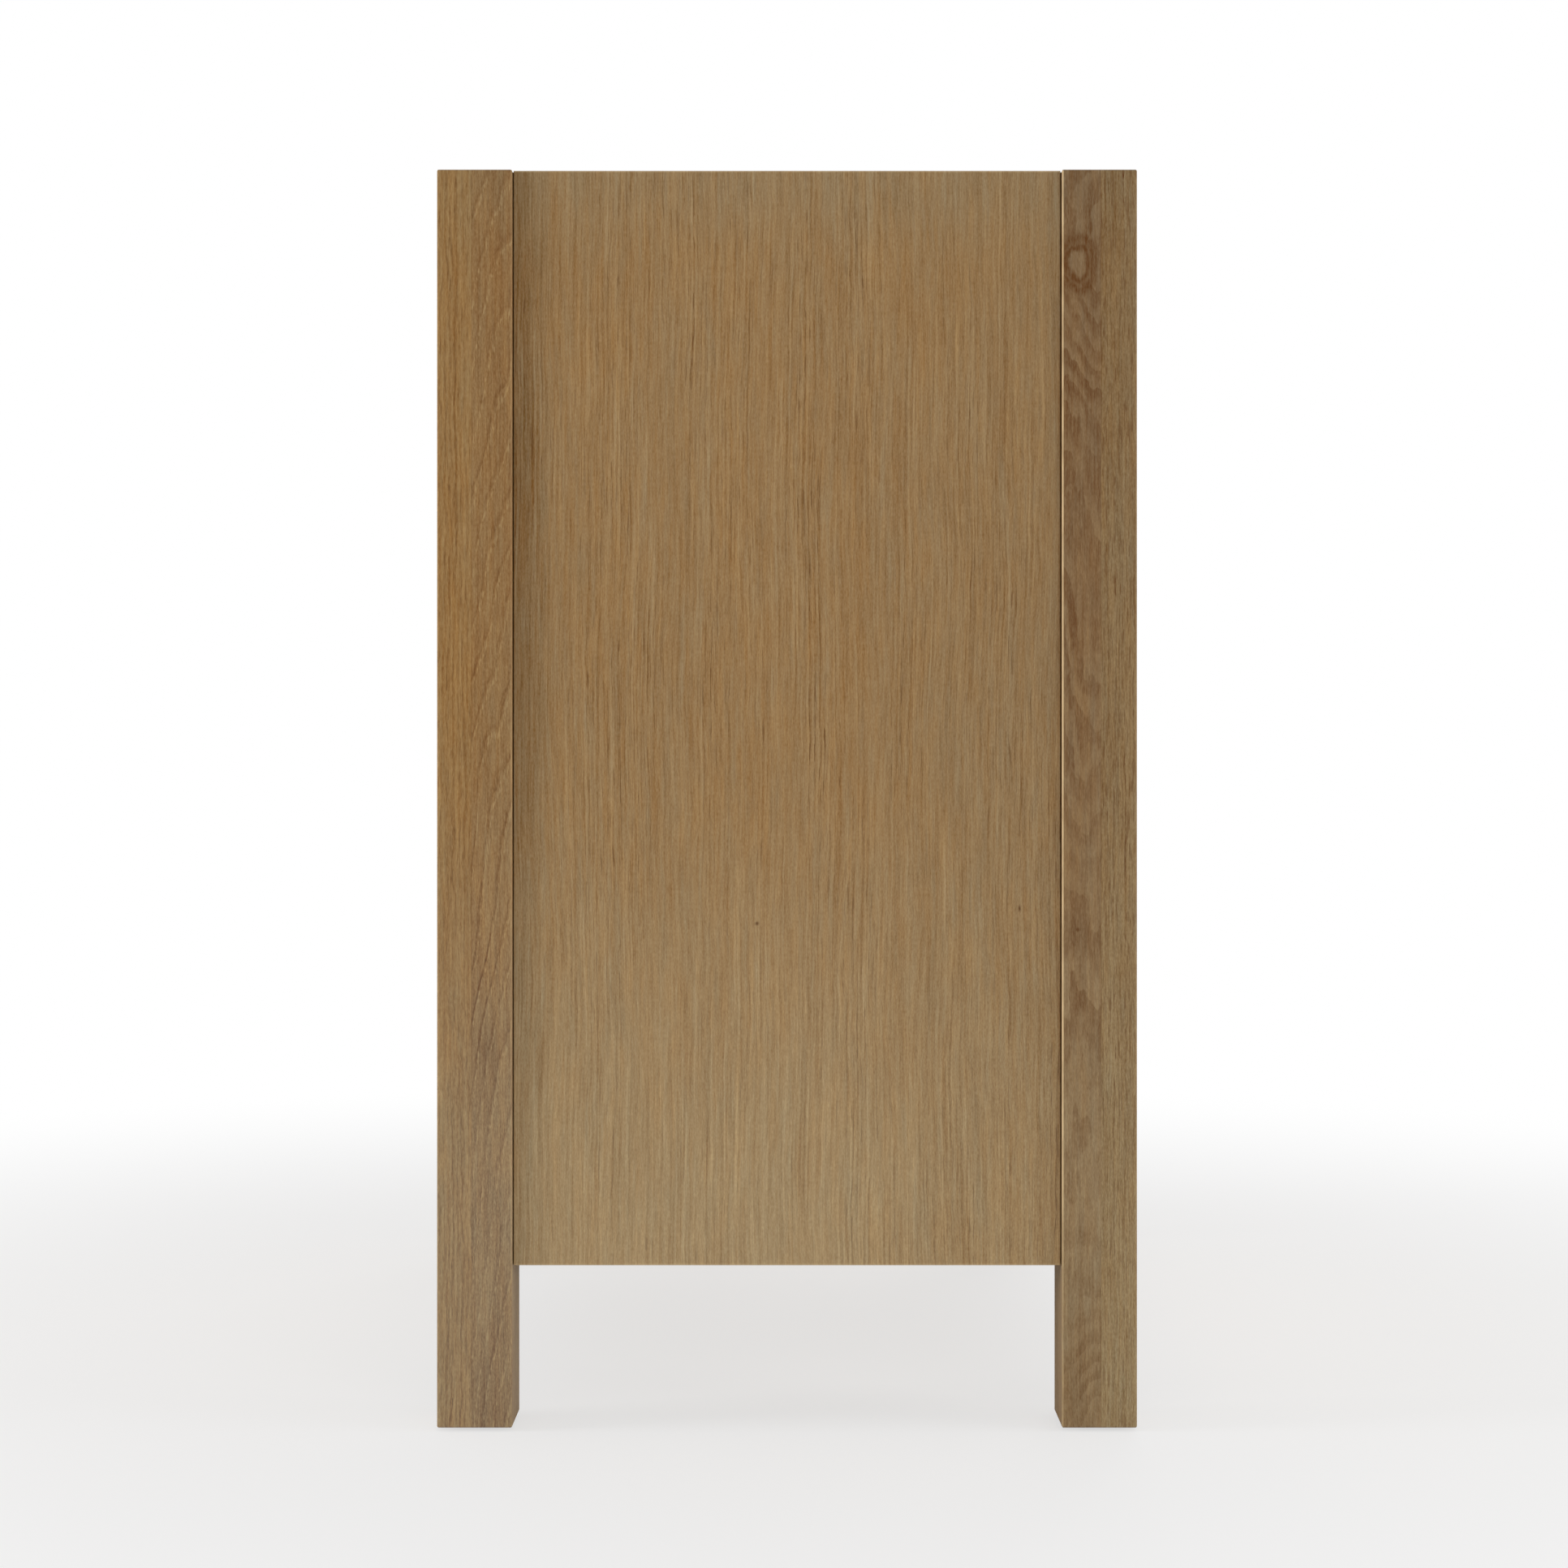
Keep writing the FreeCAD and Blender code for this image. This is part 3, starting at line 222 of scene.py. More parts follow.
def wornLitArris(finish, node, place, across="xyz"):
    # 1 along the outer edges of a board, in broken runs: pale edges that are partly wear and partly a
    # painted highlight
    low, high = boxOf(node)
    gaps = [(high[axis] - low[axis]) / 2 - (place[axis] - (high[axis] + low[axis]) / 2).size()
            for axis in (axes[letter] for letter in across)]
    reach = sum(gaps)
    if len(gaps) == 3:  # only the two nearest faces count
        reach = reach - gaps[0].to("MAXIMUM", gaps[1]).to("MAXIMUM", gaps[2])
    rubbed = oak["leastRubbed"] + (1 - oak["leastRubbed"]) * finish.layer(place, oak["rubbed"])
    return (1 - reach.rise(*oak["wornLitArris"])) * rubbed


def streaks(finish, across, depth, along, seed, layers="streaks"):
    return sum(weight * finish.noise((across, depth, along), (fine, fine, slow), (seed, seed, 0))
               for fine, slow, weight in oak[layers])


def ringBand(finish, ring, edge, width):
    # the dark, porous start of each ring, some rings stronger than others
    band = ring.to("FRACT").hump((0, edge), (width * oak["ringFade"], width))
    return band * (oak["faintestRing"] + (1 - oak["faintestRing"]) * finish.chance(ring))


def oakSurface(finish, deep, pale, share, tint, pores, worn, z, paintedFloorLight=oak["paintedFloorLight"]):
    # share runs from the deep colour, 0, to the pale one, 1, and tint about 0 from cool to warm
    # painted floor light: paler and greyer low down, with the grain a little stronger there
    paintedFloorLit = 1 - z.rise(*oak["paintedFloorLightRise"])
    top = z.rise(*oak["top"]["rise"])
    share = 0.5 + (share - 0.5) * (1 + paintedFloorLit * oak["paintedFloorLightGrain"]) + top * oak["top"]["paler"]
    tint = tint - top * oak["top"]["cooler"]
    colour = finish.tinted(finish.mix(share, deep, pale), finish.mix(0.5 + tint, oak["cool"], oak["warm"]))
    colour = finish.mix(pores, colour, oak["pore"])
    # pale arrises: partly wear, partly a painted highlight
    colour = finish.mix(worn, colour, oak["worn"])
    colour = finish.mix(paintedFloorLit * paintedFloorLight["share"], colour, paintedFloorLight["colour"])
    finish.feed(finish.shader, {"Base Color": colour,
                                "Roughness": oak["gloss"] + (oak["poreGloss"] - oak["gloss"]) * pores})
    finish.bump(1 - pores, *oak["bump"])


# Figure of solid oak; scales are per mm into the wood, across it and along it
oakFigure = {
    "wander": {"scale": (0.012, 0.02, 0.006), "detail": 1},
    "ripple": {"scale": (0.1, 0.1, 0.04), "detail": 2},
    "calm": {"scale": (0.02, 0.04, 0.008), "detail": 1, "rise": (-0.2, 0.15)},
    "dots": {"scale": (1.3, 1.3, 0.22), "rise": (-0.04, 0.2)},
    "dashes": {"scale": (1.3, 1.3, 0.09), "rise": (0.1, 0.2)},
    "ringDashes": 0.2,  # how much darker dashes are on a ring
    "ringTone": 0.2,  # usual darkness of the rings, made up for between them
    "gleam": ((0.78, 0.9), (0.93, 1)),  # a pale line before each ring, in shares of the pitch
    "upperRise": (80, 200),  # mm from the middle of the piece
    "lowerRise": (-250, -170),
    # a knot's two dark rims and the clear wood within, in shares of its size
    "rim": ((0.5, 0.8), (0.85, 1.15)),
    "outerRim": ((0.92, 1.2), (1.3, 1.8)),
    "outerDark": 0.75,
    "clear": (1, 1.7),
    "knotRough": 0.17,
}


def solidOak(finish, depth, across, along, strip, seed, knots=()):
    # rings about a pith, cut through by the surface; strip holds the sizes of the piece
    place = (depth, across, along)
    seedDepth = (seed, 0, 0)
    seedAcross = (0, seed, 0)
    low = (1 - along.rise(*oakFigure["lowerRise"])) * strip["lower"]
    wander = finish.layer(place, oakFigure["wander"], seedDepth) * strip["wander"]
    ripple = finish.layer(place, oakFigure["ripple"], seedAcross) * strip["ripple"] * (1 - low)
    fromPithDepth = depth - strip["pithDepth"] - along * strip["leanDepth"]
    fromPithAcross = across - strip["pithAcross"] - along * strip["leanAcross"]
    radius = (fromPithDepth * fromPithDepth + fromPithAcross * fromPithAcross).to("SQRT")
    ring = (radius + wander + ripple) / strip["pitch"]
    shade = 0
    clear = 1
    for knot in knots:  # a pale heart, dark rims and rings that bend round it
        where = (across - knot["at"][0], along - knot["at"][1])
        ring = ring - knot["within"] * knot["rings"] * finish.spot(*where, *knot["bend"])
        if "size" not in knot:  # only the bend is on this piece
            continue
        out = finish.oval(*where, *knot["size"]) + oakFigure["knotRough"] * ripple
        rims = out.hump(*oakFigure["rim"]) + oakFigure["outerDark"] * out.hump(*oakFigure["outerRim"])
        shade = shade + rims * knot["within"] * knot["dark"]
        clear = clear * (1 - knot["within"] * (1 - out.rise(*oakFigure["clear"])))
    calm = 1 - finish.layer(place, oakFigure["calm"], seedAcross)
    band = ringBand(finish, ring, strip["edge"], strip["band"]) * clear * (1 - calm * strip["calm"])
    band = band * (1 - along.rise(*oakFigure["upperRise"]) * strip["upper"] - low)
    dots = finish.layer(place, oakFigure["dots"], seedDepth)
    dashes = finish.layer(place, oakFigure["dashes"], seedAcross)
    pores = dashes * (strip["dashes"] + oakFigure["ringDashes"] * band) + band * dots * strip["dots"]
    gleam = ring.to("FRACT").hump(*oakFigure["gleam"]) * dots * strip["gleam"]
    share = 0.5 + streaks(finish, across, depth, along, seed) * strip["streaks"]
    share = share - (band - oakFigure["ringTone"]) * strip["lines"] + gleam - shade
    return share, pores


# Solid oak posts: each is glued up from two strips, the first towards the front
oakPosts = {
    "middle": 420,  # height from which the pith leans and the tone drifts
    "driftRise": (30, 380),  # mm above the middle
    "stripSeed": 7.3,  # added for the second strip
    "stripTintSeed": 5.1,
    "glueFade": (0.1, 0.45),
    "glueDark": 0.12,
    "endRise": (0.5, 0.9),
    "endDark": 0.2,
    "fleckDark": 1.8,
    "legRise": (90, 190),  # the pale arrises, wear and painted highlight, are fainter on the legs
    "legWornLit": 0.3,
    # worn: how pale the front and back arrises are, partly wear and partly a painted highlight where the
    # rounded edge catches the front light
    # smudges, soft brown marks: across, height, half sizes, strength
    # flecks, dark specks: across, height, half sizes
    # knots: place and half sizes in mm from the middle, how far off rings bend and by how many
    # strips: where the pith is and leans to in mm; the pitch, wander and ripple of its rings in mm;
    # edge and band: shares of the pitch in which a ring darkens and fades again; how strong the lines,
    # dots, dashes, gleam and streaks are; calm, upper and lower: how much fainter rings are in places,
    # high up and low down; drift: how much darker the top is
    # bleach: colour and share of the painted floor light low on each post
    "posts": {
        "front_right_post": {
            "glue": -2, "seed": 3, "worn": (0.05, 0.12),
            "paintedFloorLight": {"colour": paint((204, 228, 220)), "share": 0.09},
            "strips": (
                {"colour": (150, 110, 47), "pithDepth": -30, "pithAcross": -140, "leanDepth": 0,
                 "leanAcross": 0.004, "pitch": 3.2, "wander": 9, "ripple": 6, "edge": 0.1, "band": 0.7,
                 "lines": 0.22, "dots": 0.42, "dashes": 0.22, "gleam": 0.05, "streaks": 0.9,
                 "calm": 0.6, "upper": 0, "lower": 0, "drift": 0},
                {"colour": (141, 101, 41), "pithDepth": -75, "pithAcross": 60, "leanDepth": -0.1,
                 "leanAcross": 0, "pitch": 4.2, "wander": 12, "ripple": 2.5, "edge": 0.05, "band": 0.24,
                 "lines": 0.35, "dots": 0.85, "dashes": 0.1, "gleam": 0.45, "streaks": 1.25,
                 "calm": 0.5, "upper": 0.5, "lower": 0.6, "drift": 0.07}),
            "smudges": ((8, 255, 6, 14, 0.16), (9, 150, 9, 22, 0.1), (10, 250, 20, 60, 0.08),
                        (10, 20, 20, 50, 0.14)),
        },
        "back_right_post": {
            "glue": 1, "seed": 41, "worn": (0.8, 0.1),
            "paintedFloorLight": {"colour": paint((248, 230, 182)), "share": 0.085},
            "strips": (
                {"colour": (128, 94, 43), "pithDepth": -120, "pithAcross": -10, "leanDepth": 0.1,
                 "leanAcross": 0.06, "pitch": 4.6, "wander": 22, "ripple": 7, "edge": 0.07, "band": 0.8,
                 "lines": 0.29, "dots": 0.5, "dashes": 0.12, "gleam": 0, "streaks": 0.9,
                 "calm": 0.5, "upper": -0.35, "lower": 0.45, "drift": 0.08},
                {"colour": (134, 103, 51), "pithDepth": -20, "pithAcross": 160, "leanDepth": 0,
                 "leanAcross": 0, "pitch": 2.4, "wander": 5, "ripple": 3, "edge": 0.1, "band": 0.6,
                 "lines": 0.1, "dots": 0.6, "dashes": 0.42, "gleam": 0.04, "streaks": 1.15,
                 "calm": 0.6, "upper": 0, "lower": 0, "drift": 0.08}),
            "knots": ({"at": (-15, 358), "size": (9, 14), "dark": 0.42, "bend": (60, 62), "rings": 3.2},
                      {"at": (60, -500), "bend": (110, 160), "rings": 24}),
            "smudges": ((-16, 690, 10, 12, 0.1), (-8, 630, 12, 10, 0.1), (-14, 548, 9, 22, 0.12),
                        (-12, 20, 20, 80, 0.13)),
            "flecks": ((-14.5, 334, 1, 1.1),),
        },
        "front_left_post": {
            "glue": 1, "seed": 67, "worn": (0.05, 0.12),
            "paintedFloorLight": {"colour": paint((198, 228, 215)), "share": 0.07},
            "strips": (
                {"colour": (149, 109, 52), "pithDepth": -25, "pithAcross": -150, "leanDepth": 0,
                 "leanAcross": 0.01, "pitch": 2.8, "wander": 7, "ripple": 3, "edge": 0.1, "band": 0.7,
                 "lines": 0.26, "dots": 0.35, "dashes": 0.2, "gleam": 0.05, "streaks": 1.1,
                 "calm": 0.6, "upper": 0, "lower": 0, "drift": 0},
                {"colour": (145, 106, 51), "pithDepth": -60, "pithAcross": 8, "leanDepth": 0.07,
                 "leanAcross": 0, "pitch": 3.8, "wander": 9, "ripple": 3, "edge": 0.05, "band": 0.25,
                 "lines": 0.16, "dots": 0.5, "dashes": 0.12, "gleam": 0.12, "streaks": 1.1,
                 "calm": 0.6, "upper": 0, "lower": 0, "drift": 0.03}),
        },
        "back_left_post": {
            "glue": -3, "seed": 89, "worn": (0.5, 0.1),
            "paintedFloorLight": {"colour": paint((244, 221, 174)), "share": 0.07},
            "strips": (
                {"colour": (138, 102, 52), "pithDepth": -55, "pithAcross": -30, "leanDepth": -0.07,
                 "leanAcross": 0, "pitch": 4.2, "wander": 12, "ripple": 5, "edge": 0.1, "band": 0.4,
                 "lines": 0.24, "dots": 0.4, "dashes": 0.12, "gleam": 0.08, "streaks": 1.1,
                 "calm": 0.6, "upper": 0, "lower": 0, "drift": 0.04},
                {"colour": (140, 106, 55), "pithDepth": -20, "pithAcross": 150, "leanDepth": 0,
                 "leanAcross": 0, "pitch": 2.4, "wander": 5, "ripple": 3, "edge": 0.1, "band": 0.6,
                 "lines": 0.14, "dots": 0.4, "dashes": 0.3, "gleam": 0.04, "streaks": 1.1,
                 "calm": 0.6, "upper": 0, "lower": 0, "drift": 0.04}),
        },
    },
}

for node, post in oakPosts["posts"].items():
    finish = Finish(f"{node}_oak", {"Specular IOR Level": oak["specular"]})
    place = finish.place()
    low, high = boxOf(node)
    outward = 1 if low[0] > 0 else -1
    depth = (place[0] - (low[0] + high[0]) / 2) * outward
    across = place[1] - (low[1] + high[1]) / 2
    along = place[2] - oakPosts["middle"]
    first, other = post["strips"]
    second = across.over(post["glue"])
    # each size changes at the glue line
    strip = {key: first[key] + second * (other[key] - first[key]) for key in first if key != "colour"}
    knots = [dict(knot, within=1 - second) for knot in post.get("knots", ())]
    seed = post["seed"] + second * oakPosts["stripSeed"]
    share, pores = solidOak(finish, depth, across, along, strip, seed, knots)
    for markAcross, markHeight, halfWidth, halfHeight, strength in post.get("smudges", ()):
        mark = finish.spot(across - markAcross, place[2] - markHeight, halfWidth, halfHeight)
        share = share - mark * (second if markAcross > post["glue"] else 1 - second) * strength
    for fleckAcross, fleckHeight, *halfSize in post.get("flecks", ()):
        fleck = finish.spot(across - fleckAcross, place[2] - fleckHeight, *halfSize)
        pores = pores + fleck * oakPosts["fleckDark"]
    glue = 1 - (across - post["glue"]).size().rise(*oakPosts["glueFade"])
    endGrain = finish.facing()[2].rise(*oakPosts["endRise"])
    share = share - along.rise(*oakPosts["driftRise"]) * strip["drift"]
    share = share - glue * oakPosts["glueDark"] - endGrain * oakPosts["endDark"]
    # pale arrises, strongest on the front arrises of the back posts: mostly a painted highlight, partly wear
    frontWornLit, backWornLit = post["worn"]
    worn = wornLitArris(finish, node, place, "xy") * (frontWornLit + across.over(0) * (backWornLit - frontWornLit))
    worn = worn * (oakPosts["legWornLit"] + (1 - oakPosts["legWornLit"]) * place[2].rise(*oakPosts["legRise"]))
    firstDeep, firstPale = deepAndPale(first["colour"])
    otherDeep, otherPale = deepAndPale(other["colour"])
    deep = finish.mix(second, firstDeep, otherDeep)
    pale = finish.mix(second, firstPale, otherPale)
    tintSeed = post["seed"] + second * oakPosts["stripTintSeed"] + oak["tintSeed"]
    tint = streaks(finish, across, depth, along, tintSeed, "tints")
    oakSurface(finish, deep, pale, share, tint, pores, worn, place[2], post["paintedFloorLight"])
    finish.coat(node)
print("posts finished")


# Rails and the stop batten: single pieces of oak with the grain along the unit
oakRails = {
    "strip": {"colour": (149, 109, 53), "pithDepth": 40, "pithAcross": -26, "leanDepth": 0.03,
              "leanAcross": 0, "pitch": 3.4, "wander": 10, "ripple": 4, "edge": 0.1, "band": 0.5,
              "lines": 0.22, "dots": 0.4, "dashes": 0.15, "gleam": 0.06, "streaks": 0.95,
              "calm": 0.6, "upper": 0, "lower": 0},
    "worn": 0.25,
    "seeds": {"top_front_rail": 11, "middle_front_rail": 23, "bottom_front_rail": 37, "wall_rail": 53,
              "bottom_back_rail": 71, "door_stop_batten": 97},
}

for node, seed in oakRails["seeds"].items():
    finish = Finish(f"{node}_oak", {"Specular IOR Level": oak["specular"]})
    place = finish.place()
    low, high = boxOf(node)
    depth = place[1] - (low[1] + high[1]) / 2
    across = place[2] - (low[2] + high[2]) / 2
    share, pores = solidOak(finish, depth, across, place[0], oakRails["strip"], seed)
    worn = wornLitArris(finish, node, place) * oakRails["worn"]
    tint = streaks(finish, across, depth, place[0], seed + oak["tintSeed"], "tints")
    oakSurface(finish, *deepAndPale(oakRails["strip"]["colour"]), share, tint, pores, worn, place[2])
    finish.coat(node)
print("rails finished")


# Oak veneer: straight fine grain on boards. The three fronts share one flitch, so their grain runs on
# scales are per mm across the board, into it and along it
oakVeneer = {
    "colour": (151, 114, 57),
    "slant": 0.6,  # how far the grain steps aside through the thickness
    "wave": {"scale": (0.007, 0.02, 0.0045), "detail": 1, "size": 11},
    "ripple": {"scale": (0.06, 0.05, 0.03), "detail": 2, "size": 2.4},
    "uneven": {"scale": (0.06, 0.06, 0.0012), "detail": 1, "size": 14},
    "pitch": 3.2,
    "edge": 0.1,
    "band": 0.75,
    "breaks": {"scale": (0.3, 0.3, 0.012), "rise": (-0.3, 0.15)},  # where the rings show
    "lines": 0.16,
    "ringTone": 0.25,
    "dashes": {"scale": (2.4, 2.4, 0.08), "rise": (0.1, 0.2)},
    "dashDark": 0.15,
    "ringDashes": 0.45,
    "hairs": {"scale": (0.55, 0.55, 0.008), "rise": (0.14, 0.22)},
    "hairPale": 0.12,
    "lively": {"scale": (0.035, 0.03, 0.004), "detail": 1, "rise": (-0.15, 0.2)},  # where grain is stronger
    "leastPores": 0.5,
    "leastLines": 0.4,
    "fleckDark": 1.1,
    "worn": 0.25,
    "edgeRise": (200, 560),  # heights between which the painted shadow along the front edge grows
    "shadowLeast": 0.35,
    "shadowFade": 0.3,  # share of its width at which it starts to fade
    "shadowCooler": 0.3,
    "touchSize": (45, 60),
    "touchDark": 0.07,
    # grain: axis across, into and along the board; paintedShadeEdges: width and strength of the painted
    # shade along the front and back edges
    # fade: across, from the usual colour to this one; flecks: across, along, half sizes
    # touched: where hands pull it
    "boards": {
        "right_side_panel": {"grain": "yxz", "seed": 5, "paintedShadeEdges": ((40, 0.2), (4, 0.09)),
                             "fade": {"rise": (20, 150), "colour": (145, 110, 55), "paintedFloorLight": 0.6},
                             "flecks": ((-20, 338, 1.2, 1.2), (155, 348, 0.8, 2))},
        "left_side_panel": {"grain": "yxz", "seed": 31, "paintedShadeEdges": ((4, 0.14), (4, 0.14))},
        "left_door": {"grain": "xyz", "seed": 59, "touched": (0, 575)},
        "right_door": {"grain": "xyz", "seed": 59, "touched": (0, 575)},
        "drawer_front": {"grain": "xyz", "seed": 59, "touched": (0, 318)},
        "cabinet_floor": {"grain": "yzx", "seed": 83},
        "drawer_divider": {"grain": "yzx", "seed": 101},
        "loose_shelf": {"grain": "yzx", "seed": 127},
    },
}

for node, board in oakVeneer["boards"].items():
    finish = Finish(f"{node}_veneer", {"Specular IOR Level": oak["specular"]})
    place = finish.place()
    low, high = boxOf(node)
    across, depth, along = (place[axes[axis]] for axis in board["grain"])
    seedAcross = (board["seed"], 0, 0)
    seedDepth = (0, board["seed"], 0)
    wave = finish.layer((across, depth, along), oakVeneer["wave"], seedAcross)
    ripple = finish.layer((across, depth, along), oakVeneer["ripple"], seedDepth)
    grain = across + depth * oakVeneer["slant"] + wave + ripple
    fibres = (grain, depth, along)
    ring = (grain + finish.layer(fibres, oakVeneer["uneven"], seedDepth)) / oakVeneer["pitch"]
    band = ringBand(finish, ring, oakVeneer["edge"], oakVeneer["band"])
    band = band * finish.layer(fibres, oakVeneer["breaks"], seedDepth)
    dashes = finish.layer(fibres, oakVeneer["dashes"], seedDepth)
    hairs = finish.layer(fibres, oakVeneer["hairs"], seedAcross)
    lively = finish.layer(fibres, oakVeneer["lively"], seedAcross)
    pores = dashes * (oakVeneer["dashDark"] + oakVeneer["ringDashes"] * band)
    pores = pores * (oakVeneer["leastPores"] + lively)
    lines = (band - oakVeneer["ringTone"]) * (oakVeneer["leastLines"] + lively) * oakVeneer["lines"]
    share = 0.5 + streaks(finish, *fibres, board["seed"]) - lines + hairs * oakVeneer["hairPale"]
    tint = streaks(finish, *fibres, board["seed"] + oak["tintSeed"], "tints")
    for fleckAcross, fleckAlong, *halfSize in board.get("flecks", ()):
        fleck = finish.spot(across - fleckAcross, along - fleckAlong, *halfSize)
        pores = pores + fleck * oakVeneer["fleckDark"]
    # painted shade: the post's soft shadow along the front edge, a little cooler, and a narrow shade in the
    # seams
    if "paintedShadeEdges" in board:
        (frontWidth, frontStrength), (backWidth, backStrength) = board["paintedShadeEdges"]
        acrossAxis = axes[board["grain"][0]]
        fromFront = (across - low[acrossAxis]).rise(frontWidth * oakVeneer["shadowFade"], frontWidth)
        fromBack = (high[acrossAxis] - across).rise(0, backWidth)
        highUp = oakVeneer["shadowLeast"] + (1 - oakVeneer["shadowLeast"]) * along.rise(*oakVeneer["edgeRise"])
        frontPaintedShadow = highUp * (1 - fromFront)
        share = share - frontPaintedShadow * frontStrength - backStrength * (1 - fromBack)
        tint = tint - frontPaintedShadow * oakVeneer["shadowCooler"]
    if "touched" in board:  # darker there
        touchAcross, touchAlong = board["touched"]
        touched = finish.spot(across - touchAcross, along - touchAlong, *oakVeneer["touchSize"])
        share = share - touched * oakVeneer["touchDark"]
    deep, pale = deepAndPale(oakVeneer["colour"])
    paintedFloorLight = oak["paintedFloorLight"]
    if "fade" in board:  # a little greyer towards the back, and with less painted floor light
        fade = across.rise(*board["fade"]["rise"])
        backDeep, backPale = deepAndPale(board["fade"]["colour"])
        deep = finish.mix(fade, deep, backDeep)
        pale = finish.mix(fade, pale, backPale)
        paintedFloorLight = dict(paintedFloorLight, share=paintedFloorLight["share"] * (1 - fade * (1 - board["fade"]["paintedFloorLight"])))
    worn = wornLitArris(finish, node, place) * oakVeneer["worn"]
    oakSurface(finish, deep, pale, share, tint, pores, worn, place[2], paintedFloorLight)
    finish.coat(node)
print("veneered boards finished")


# Birch: pale, close grained, lacquered; scales are per mm across the piece, into it and along it
birch = {
    "light": paint((214, 188, 146)),
    "dark": paint((190, 158, 114)),
    "sway": {"scale": (0.01, 0.02, 0.004), "detail": 2, "size": 30},
    "figure": {"scale": (0.09, 0.05, 0.003), "detail": 2, "size": 1.6},
    "usual": 0.4,  # share of the dark colour where the figure is plain
    "fibre": {"scale": (2.2, 2.2, 0.03), "detail": 2},
    "fibreDark": 0.5,
    "fibreShade": 0.12,
    "fibreGloss": 0.12,
    "endRise": (0.5, 0.9),
    "endDark": 0.22,
    "gloss": 0.42,
    "specular": 0.4,
    "bump": (0.1, 0.0002),
    # axis across, into and along the piece, then its seed
    "pieces": {"drawer_box_front": ("zyx", 7), "drawer_box_back": ("zyx", 13),
               "drawer_left_side": ("zxy", 19), "drawer_right_side": ("zxy", 29),
               "left_top_batten": ("zxy", 43), "right_top_batten": ("zxy", 47),
               "left_runner_bearer": ("zxy", 61), "right_runner_bearer": ("zxy", 73),
               "carcass_dowels": ("zyx", 79)},
}

for node, (grain, seed) in birch["pieces"].items():
    finish = Finish(f"{node}_birch", {"Specular IOR Level": birch["specular"]})
    place = finish.place()
    across, depth, along = (place[axes[axis]] for axis in grain)
    sway = finish.layer((across, depth, along), birch["sway"], (seed, 0, 0))
    figure = finish.layer((across + sway, depth, along), birch["figure"], (0, seed, 0))
    fibre = finish.layer((across, depth, along), birch["fibre"], (seed, 0, 0))
    endGrain = finish.facing()[axes[grain[2]]].rise(*birch["endRise"])
    dark = (figure + birch["usual"] + fibre * birch["fibreDark"]).rise(0, 1)
    shade = 1 - endGrain * birch["endDark"] + fibre * birch["fibreShade"]
    colour = finish.scaled(finish.mix(dark, birch["light"], birch["dark"]), shade)
    finish.feed(finish.shader, {"Base Color": colour,
                                "Roughness": birch["gloss"] + fibre * birch["fibreGloss"]})
    finish.bump(fibre, *birch["bump"])
    finish.coat(node)


# Birch plywood: rotary figure on the faces, plies along the cut edges; scales as for birch
birchPly = {
    "light": paint((212, 184, 140)),
    "dark": paint((186, 152, 106)),
    "edge": paint((150, 114, 72)),
    "edgeRise": (0.4, 0.6),
    "edgeDark": 0.2,
    "ply": 1.2,
    "plyDark": 0.6,  # every other ply
    "sway": {"scale": (0.006, 0, 0.0025), "detail": 2, "size": 160},
    "figure": {"scale": (0.045, 0, 0.002), "detail": 2},
    "usual": 0.25,
    "rings": {"scale": (0.012, 0, 0.0016), "detail": 1, "size": 26},
    "ragged": {"scale": (0.1, 0, 0.015), "size": 0.3},
    "ringEdge": 0.12,
    "ringBand": 0.9,
    "ringDark": 0.42,
    "fibre": {"scale": (1.6, 1.6, 0.03), "detail": 2},
    "fibreDark": 0.5,
    "fibreShade": 0.14,
    "fibreGloss": 0.12,
    "gloss": 0.45,
    "specular": 0.4,
    "bump": (0.1, 0.0002),
    "pieces": {"back_panel": ("xyz", 17), "drawer_bottom": ("yzx", 37)},
}

for node, (grain, seed) in birchPly["pieces"].items():
    finish = Finish(f"{node}_ply", {"Specular IOR Level": birchPly["specular"]})
    place = finish.place()
    across, depth, along = (place[axes[axis]] for axis in grain)
    depthAxis = axes[grain[1]]
    low, high = boxOf(node)
    swayed = across + finish.layer((across, 0, along), birchPly["sway"], (seed, 0, 0))
    figure = finish.layer((swayed, 0, along), birchPly["figure"], (0, seed, 0))
    rings = finish.layer((swayed, 0, along), birchPly["rings"], (0, seed, 0))
    ragged = finish.layer((across, 0, along), birchPly["ragged"], (0, seed, 0))
    lines = ringBand(finish, rings + ragged, birchPly["ringEdge"], birchPly["ringBand"])
    fibre = finish.layer((across, depth, along), birchPly["fibre"], (seed, 0, 0))
    darkPly = ((depth - low[depthAxis]) / (2 * birchPly["ply"])).to("FRACT").over(0.5)
    edge = 1 - finish.facing()[depthAxis].rise(*birchPly["edgeRise"])
    dark = figure + birchPly["usual"] + lines * birchPly["ringDark"] + fibre * birchPly["fibreDark"]
    colour = finish.mix(dark.rise(0, 1), birchPly["light"], birchPly["dark"])
    edgeShare = edge * (birchPly["edgeDark"] + darkPly * birchPly["plyDark"])
    colour = finish.mix(edgeShare, colour, birchPly["edge"])
    finish.feed(finish.shader, {"Base Color": finish.scaled(colour, 1 + fibre * birchPly["fibreShade"]),
                                "Roughness": birchPly["gloss"] + fibre * birchPly["fibreGloss"]})
    finish.bump(fibre, *birchPly["bump"])
    finish.coat(node)
print("birch finished")


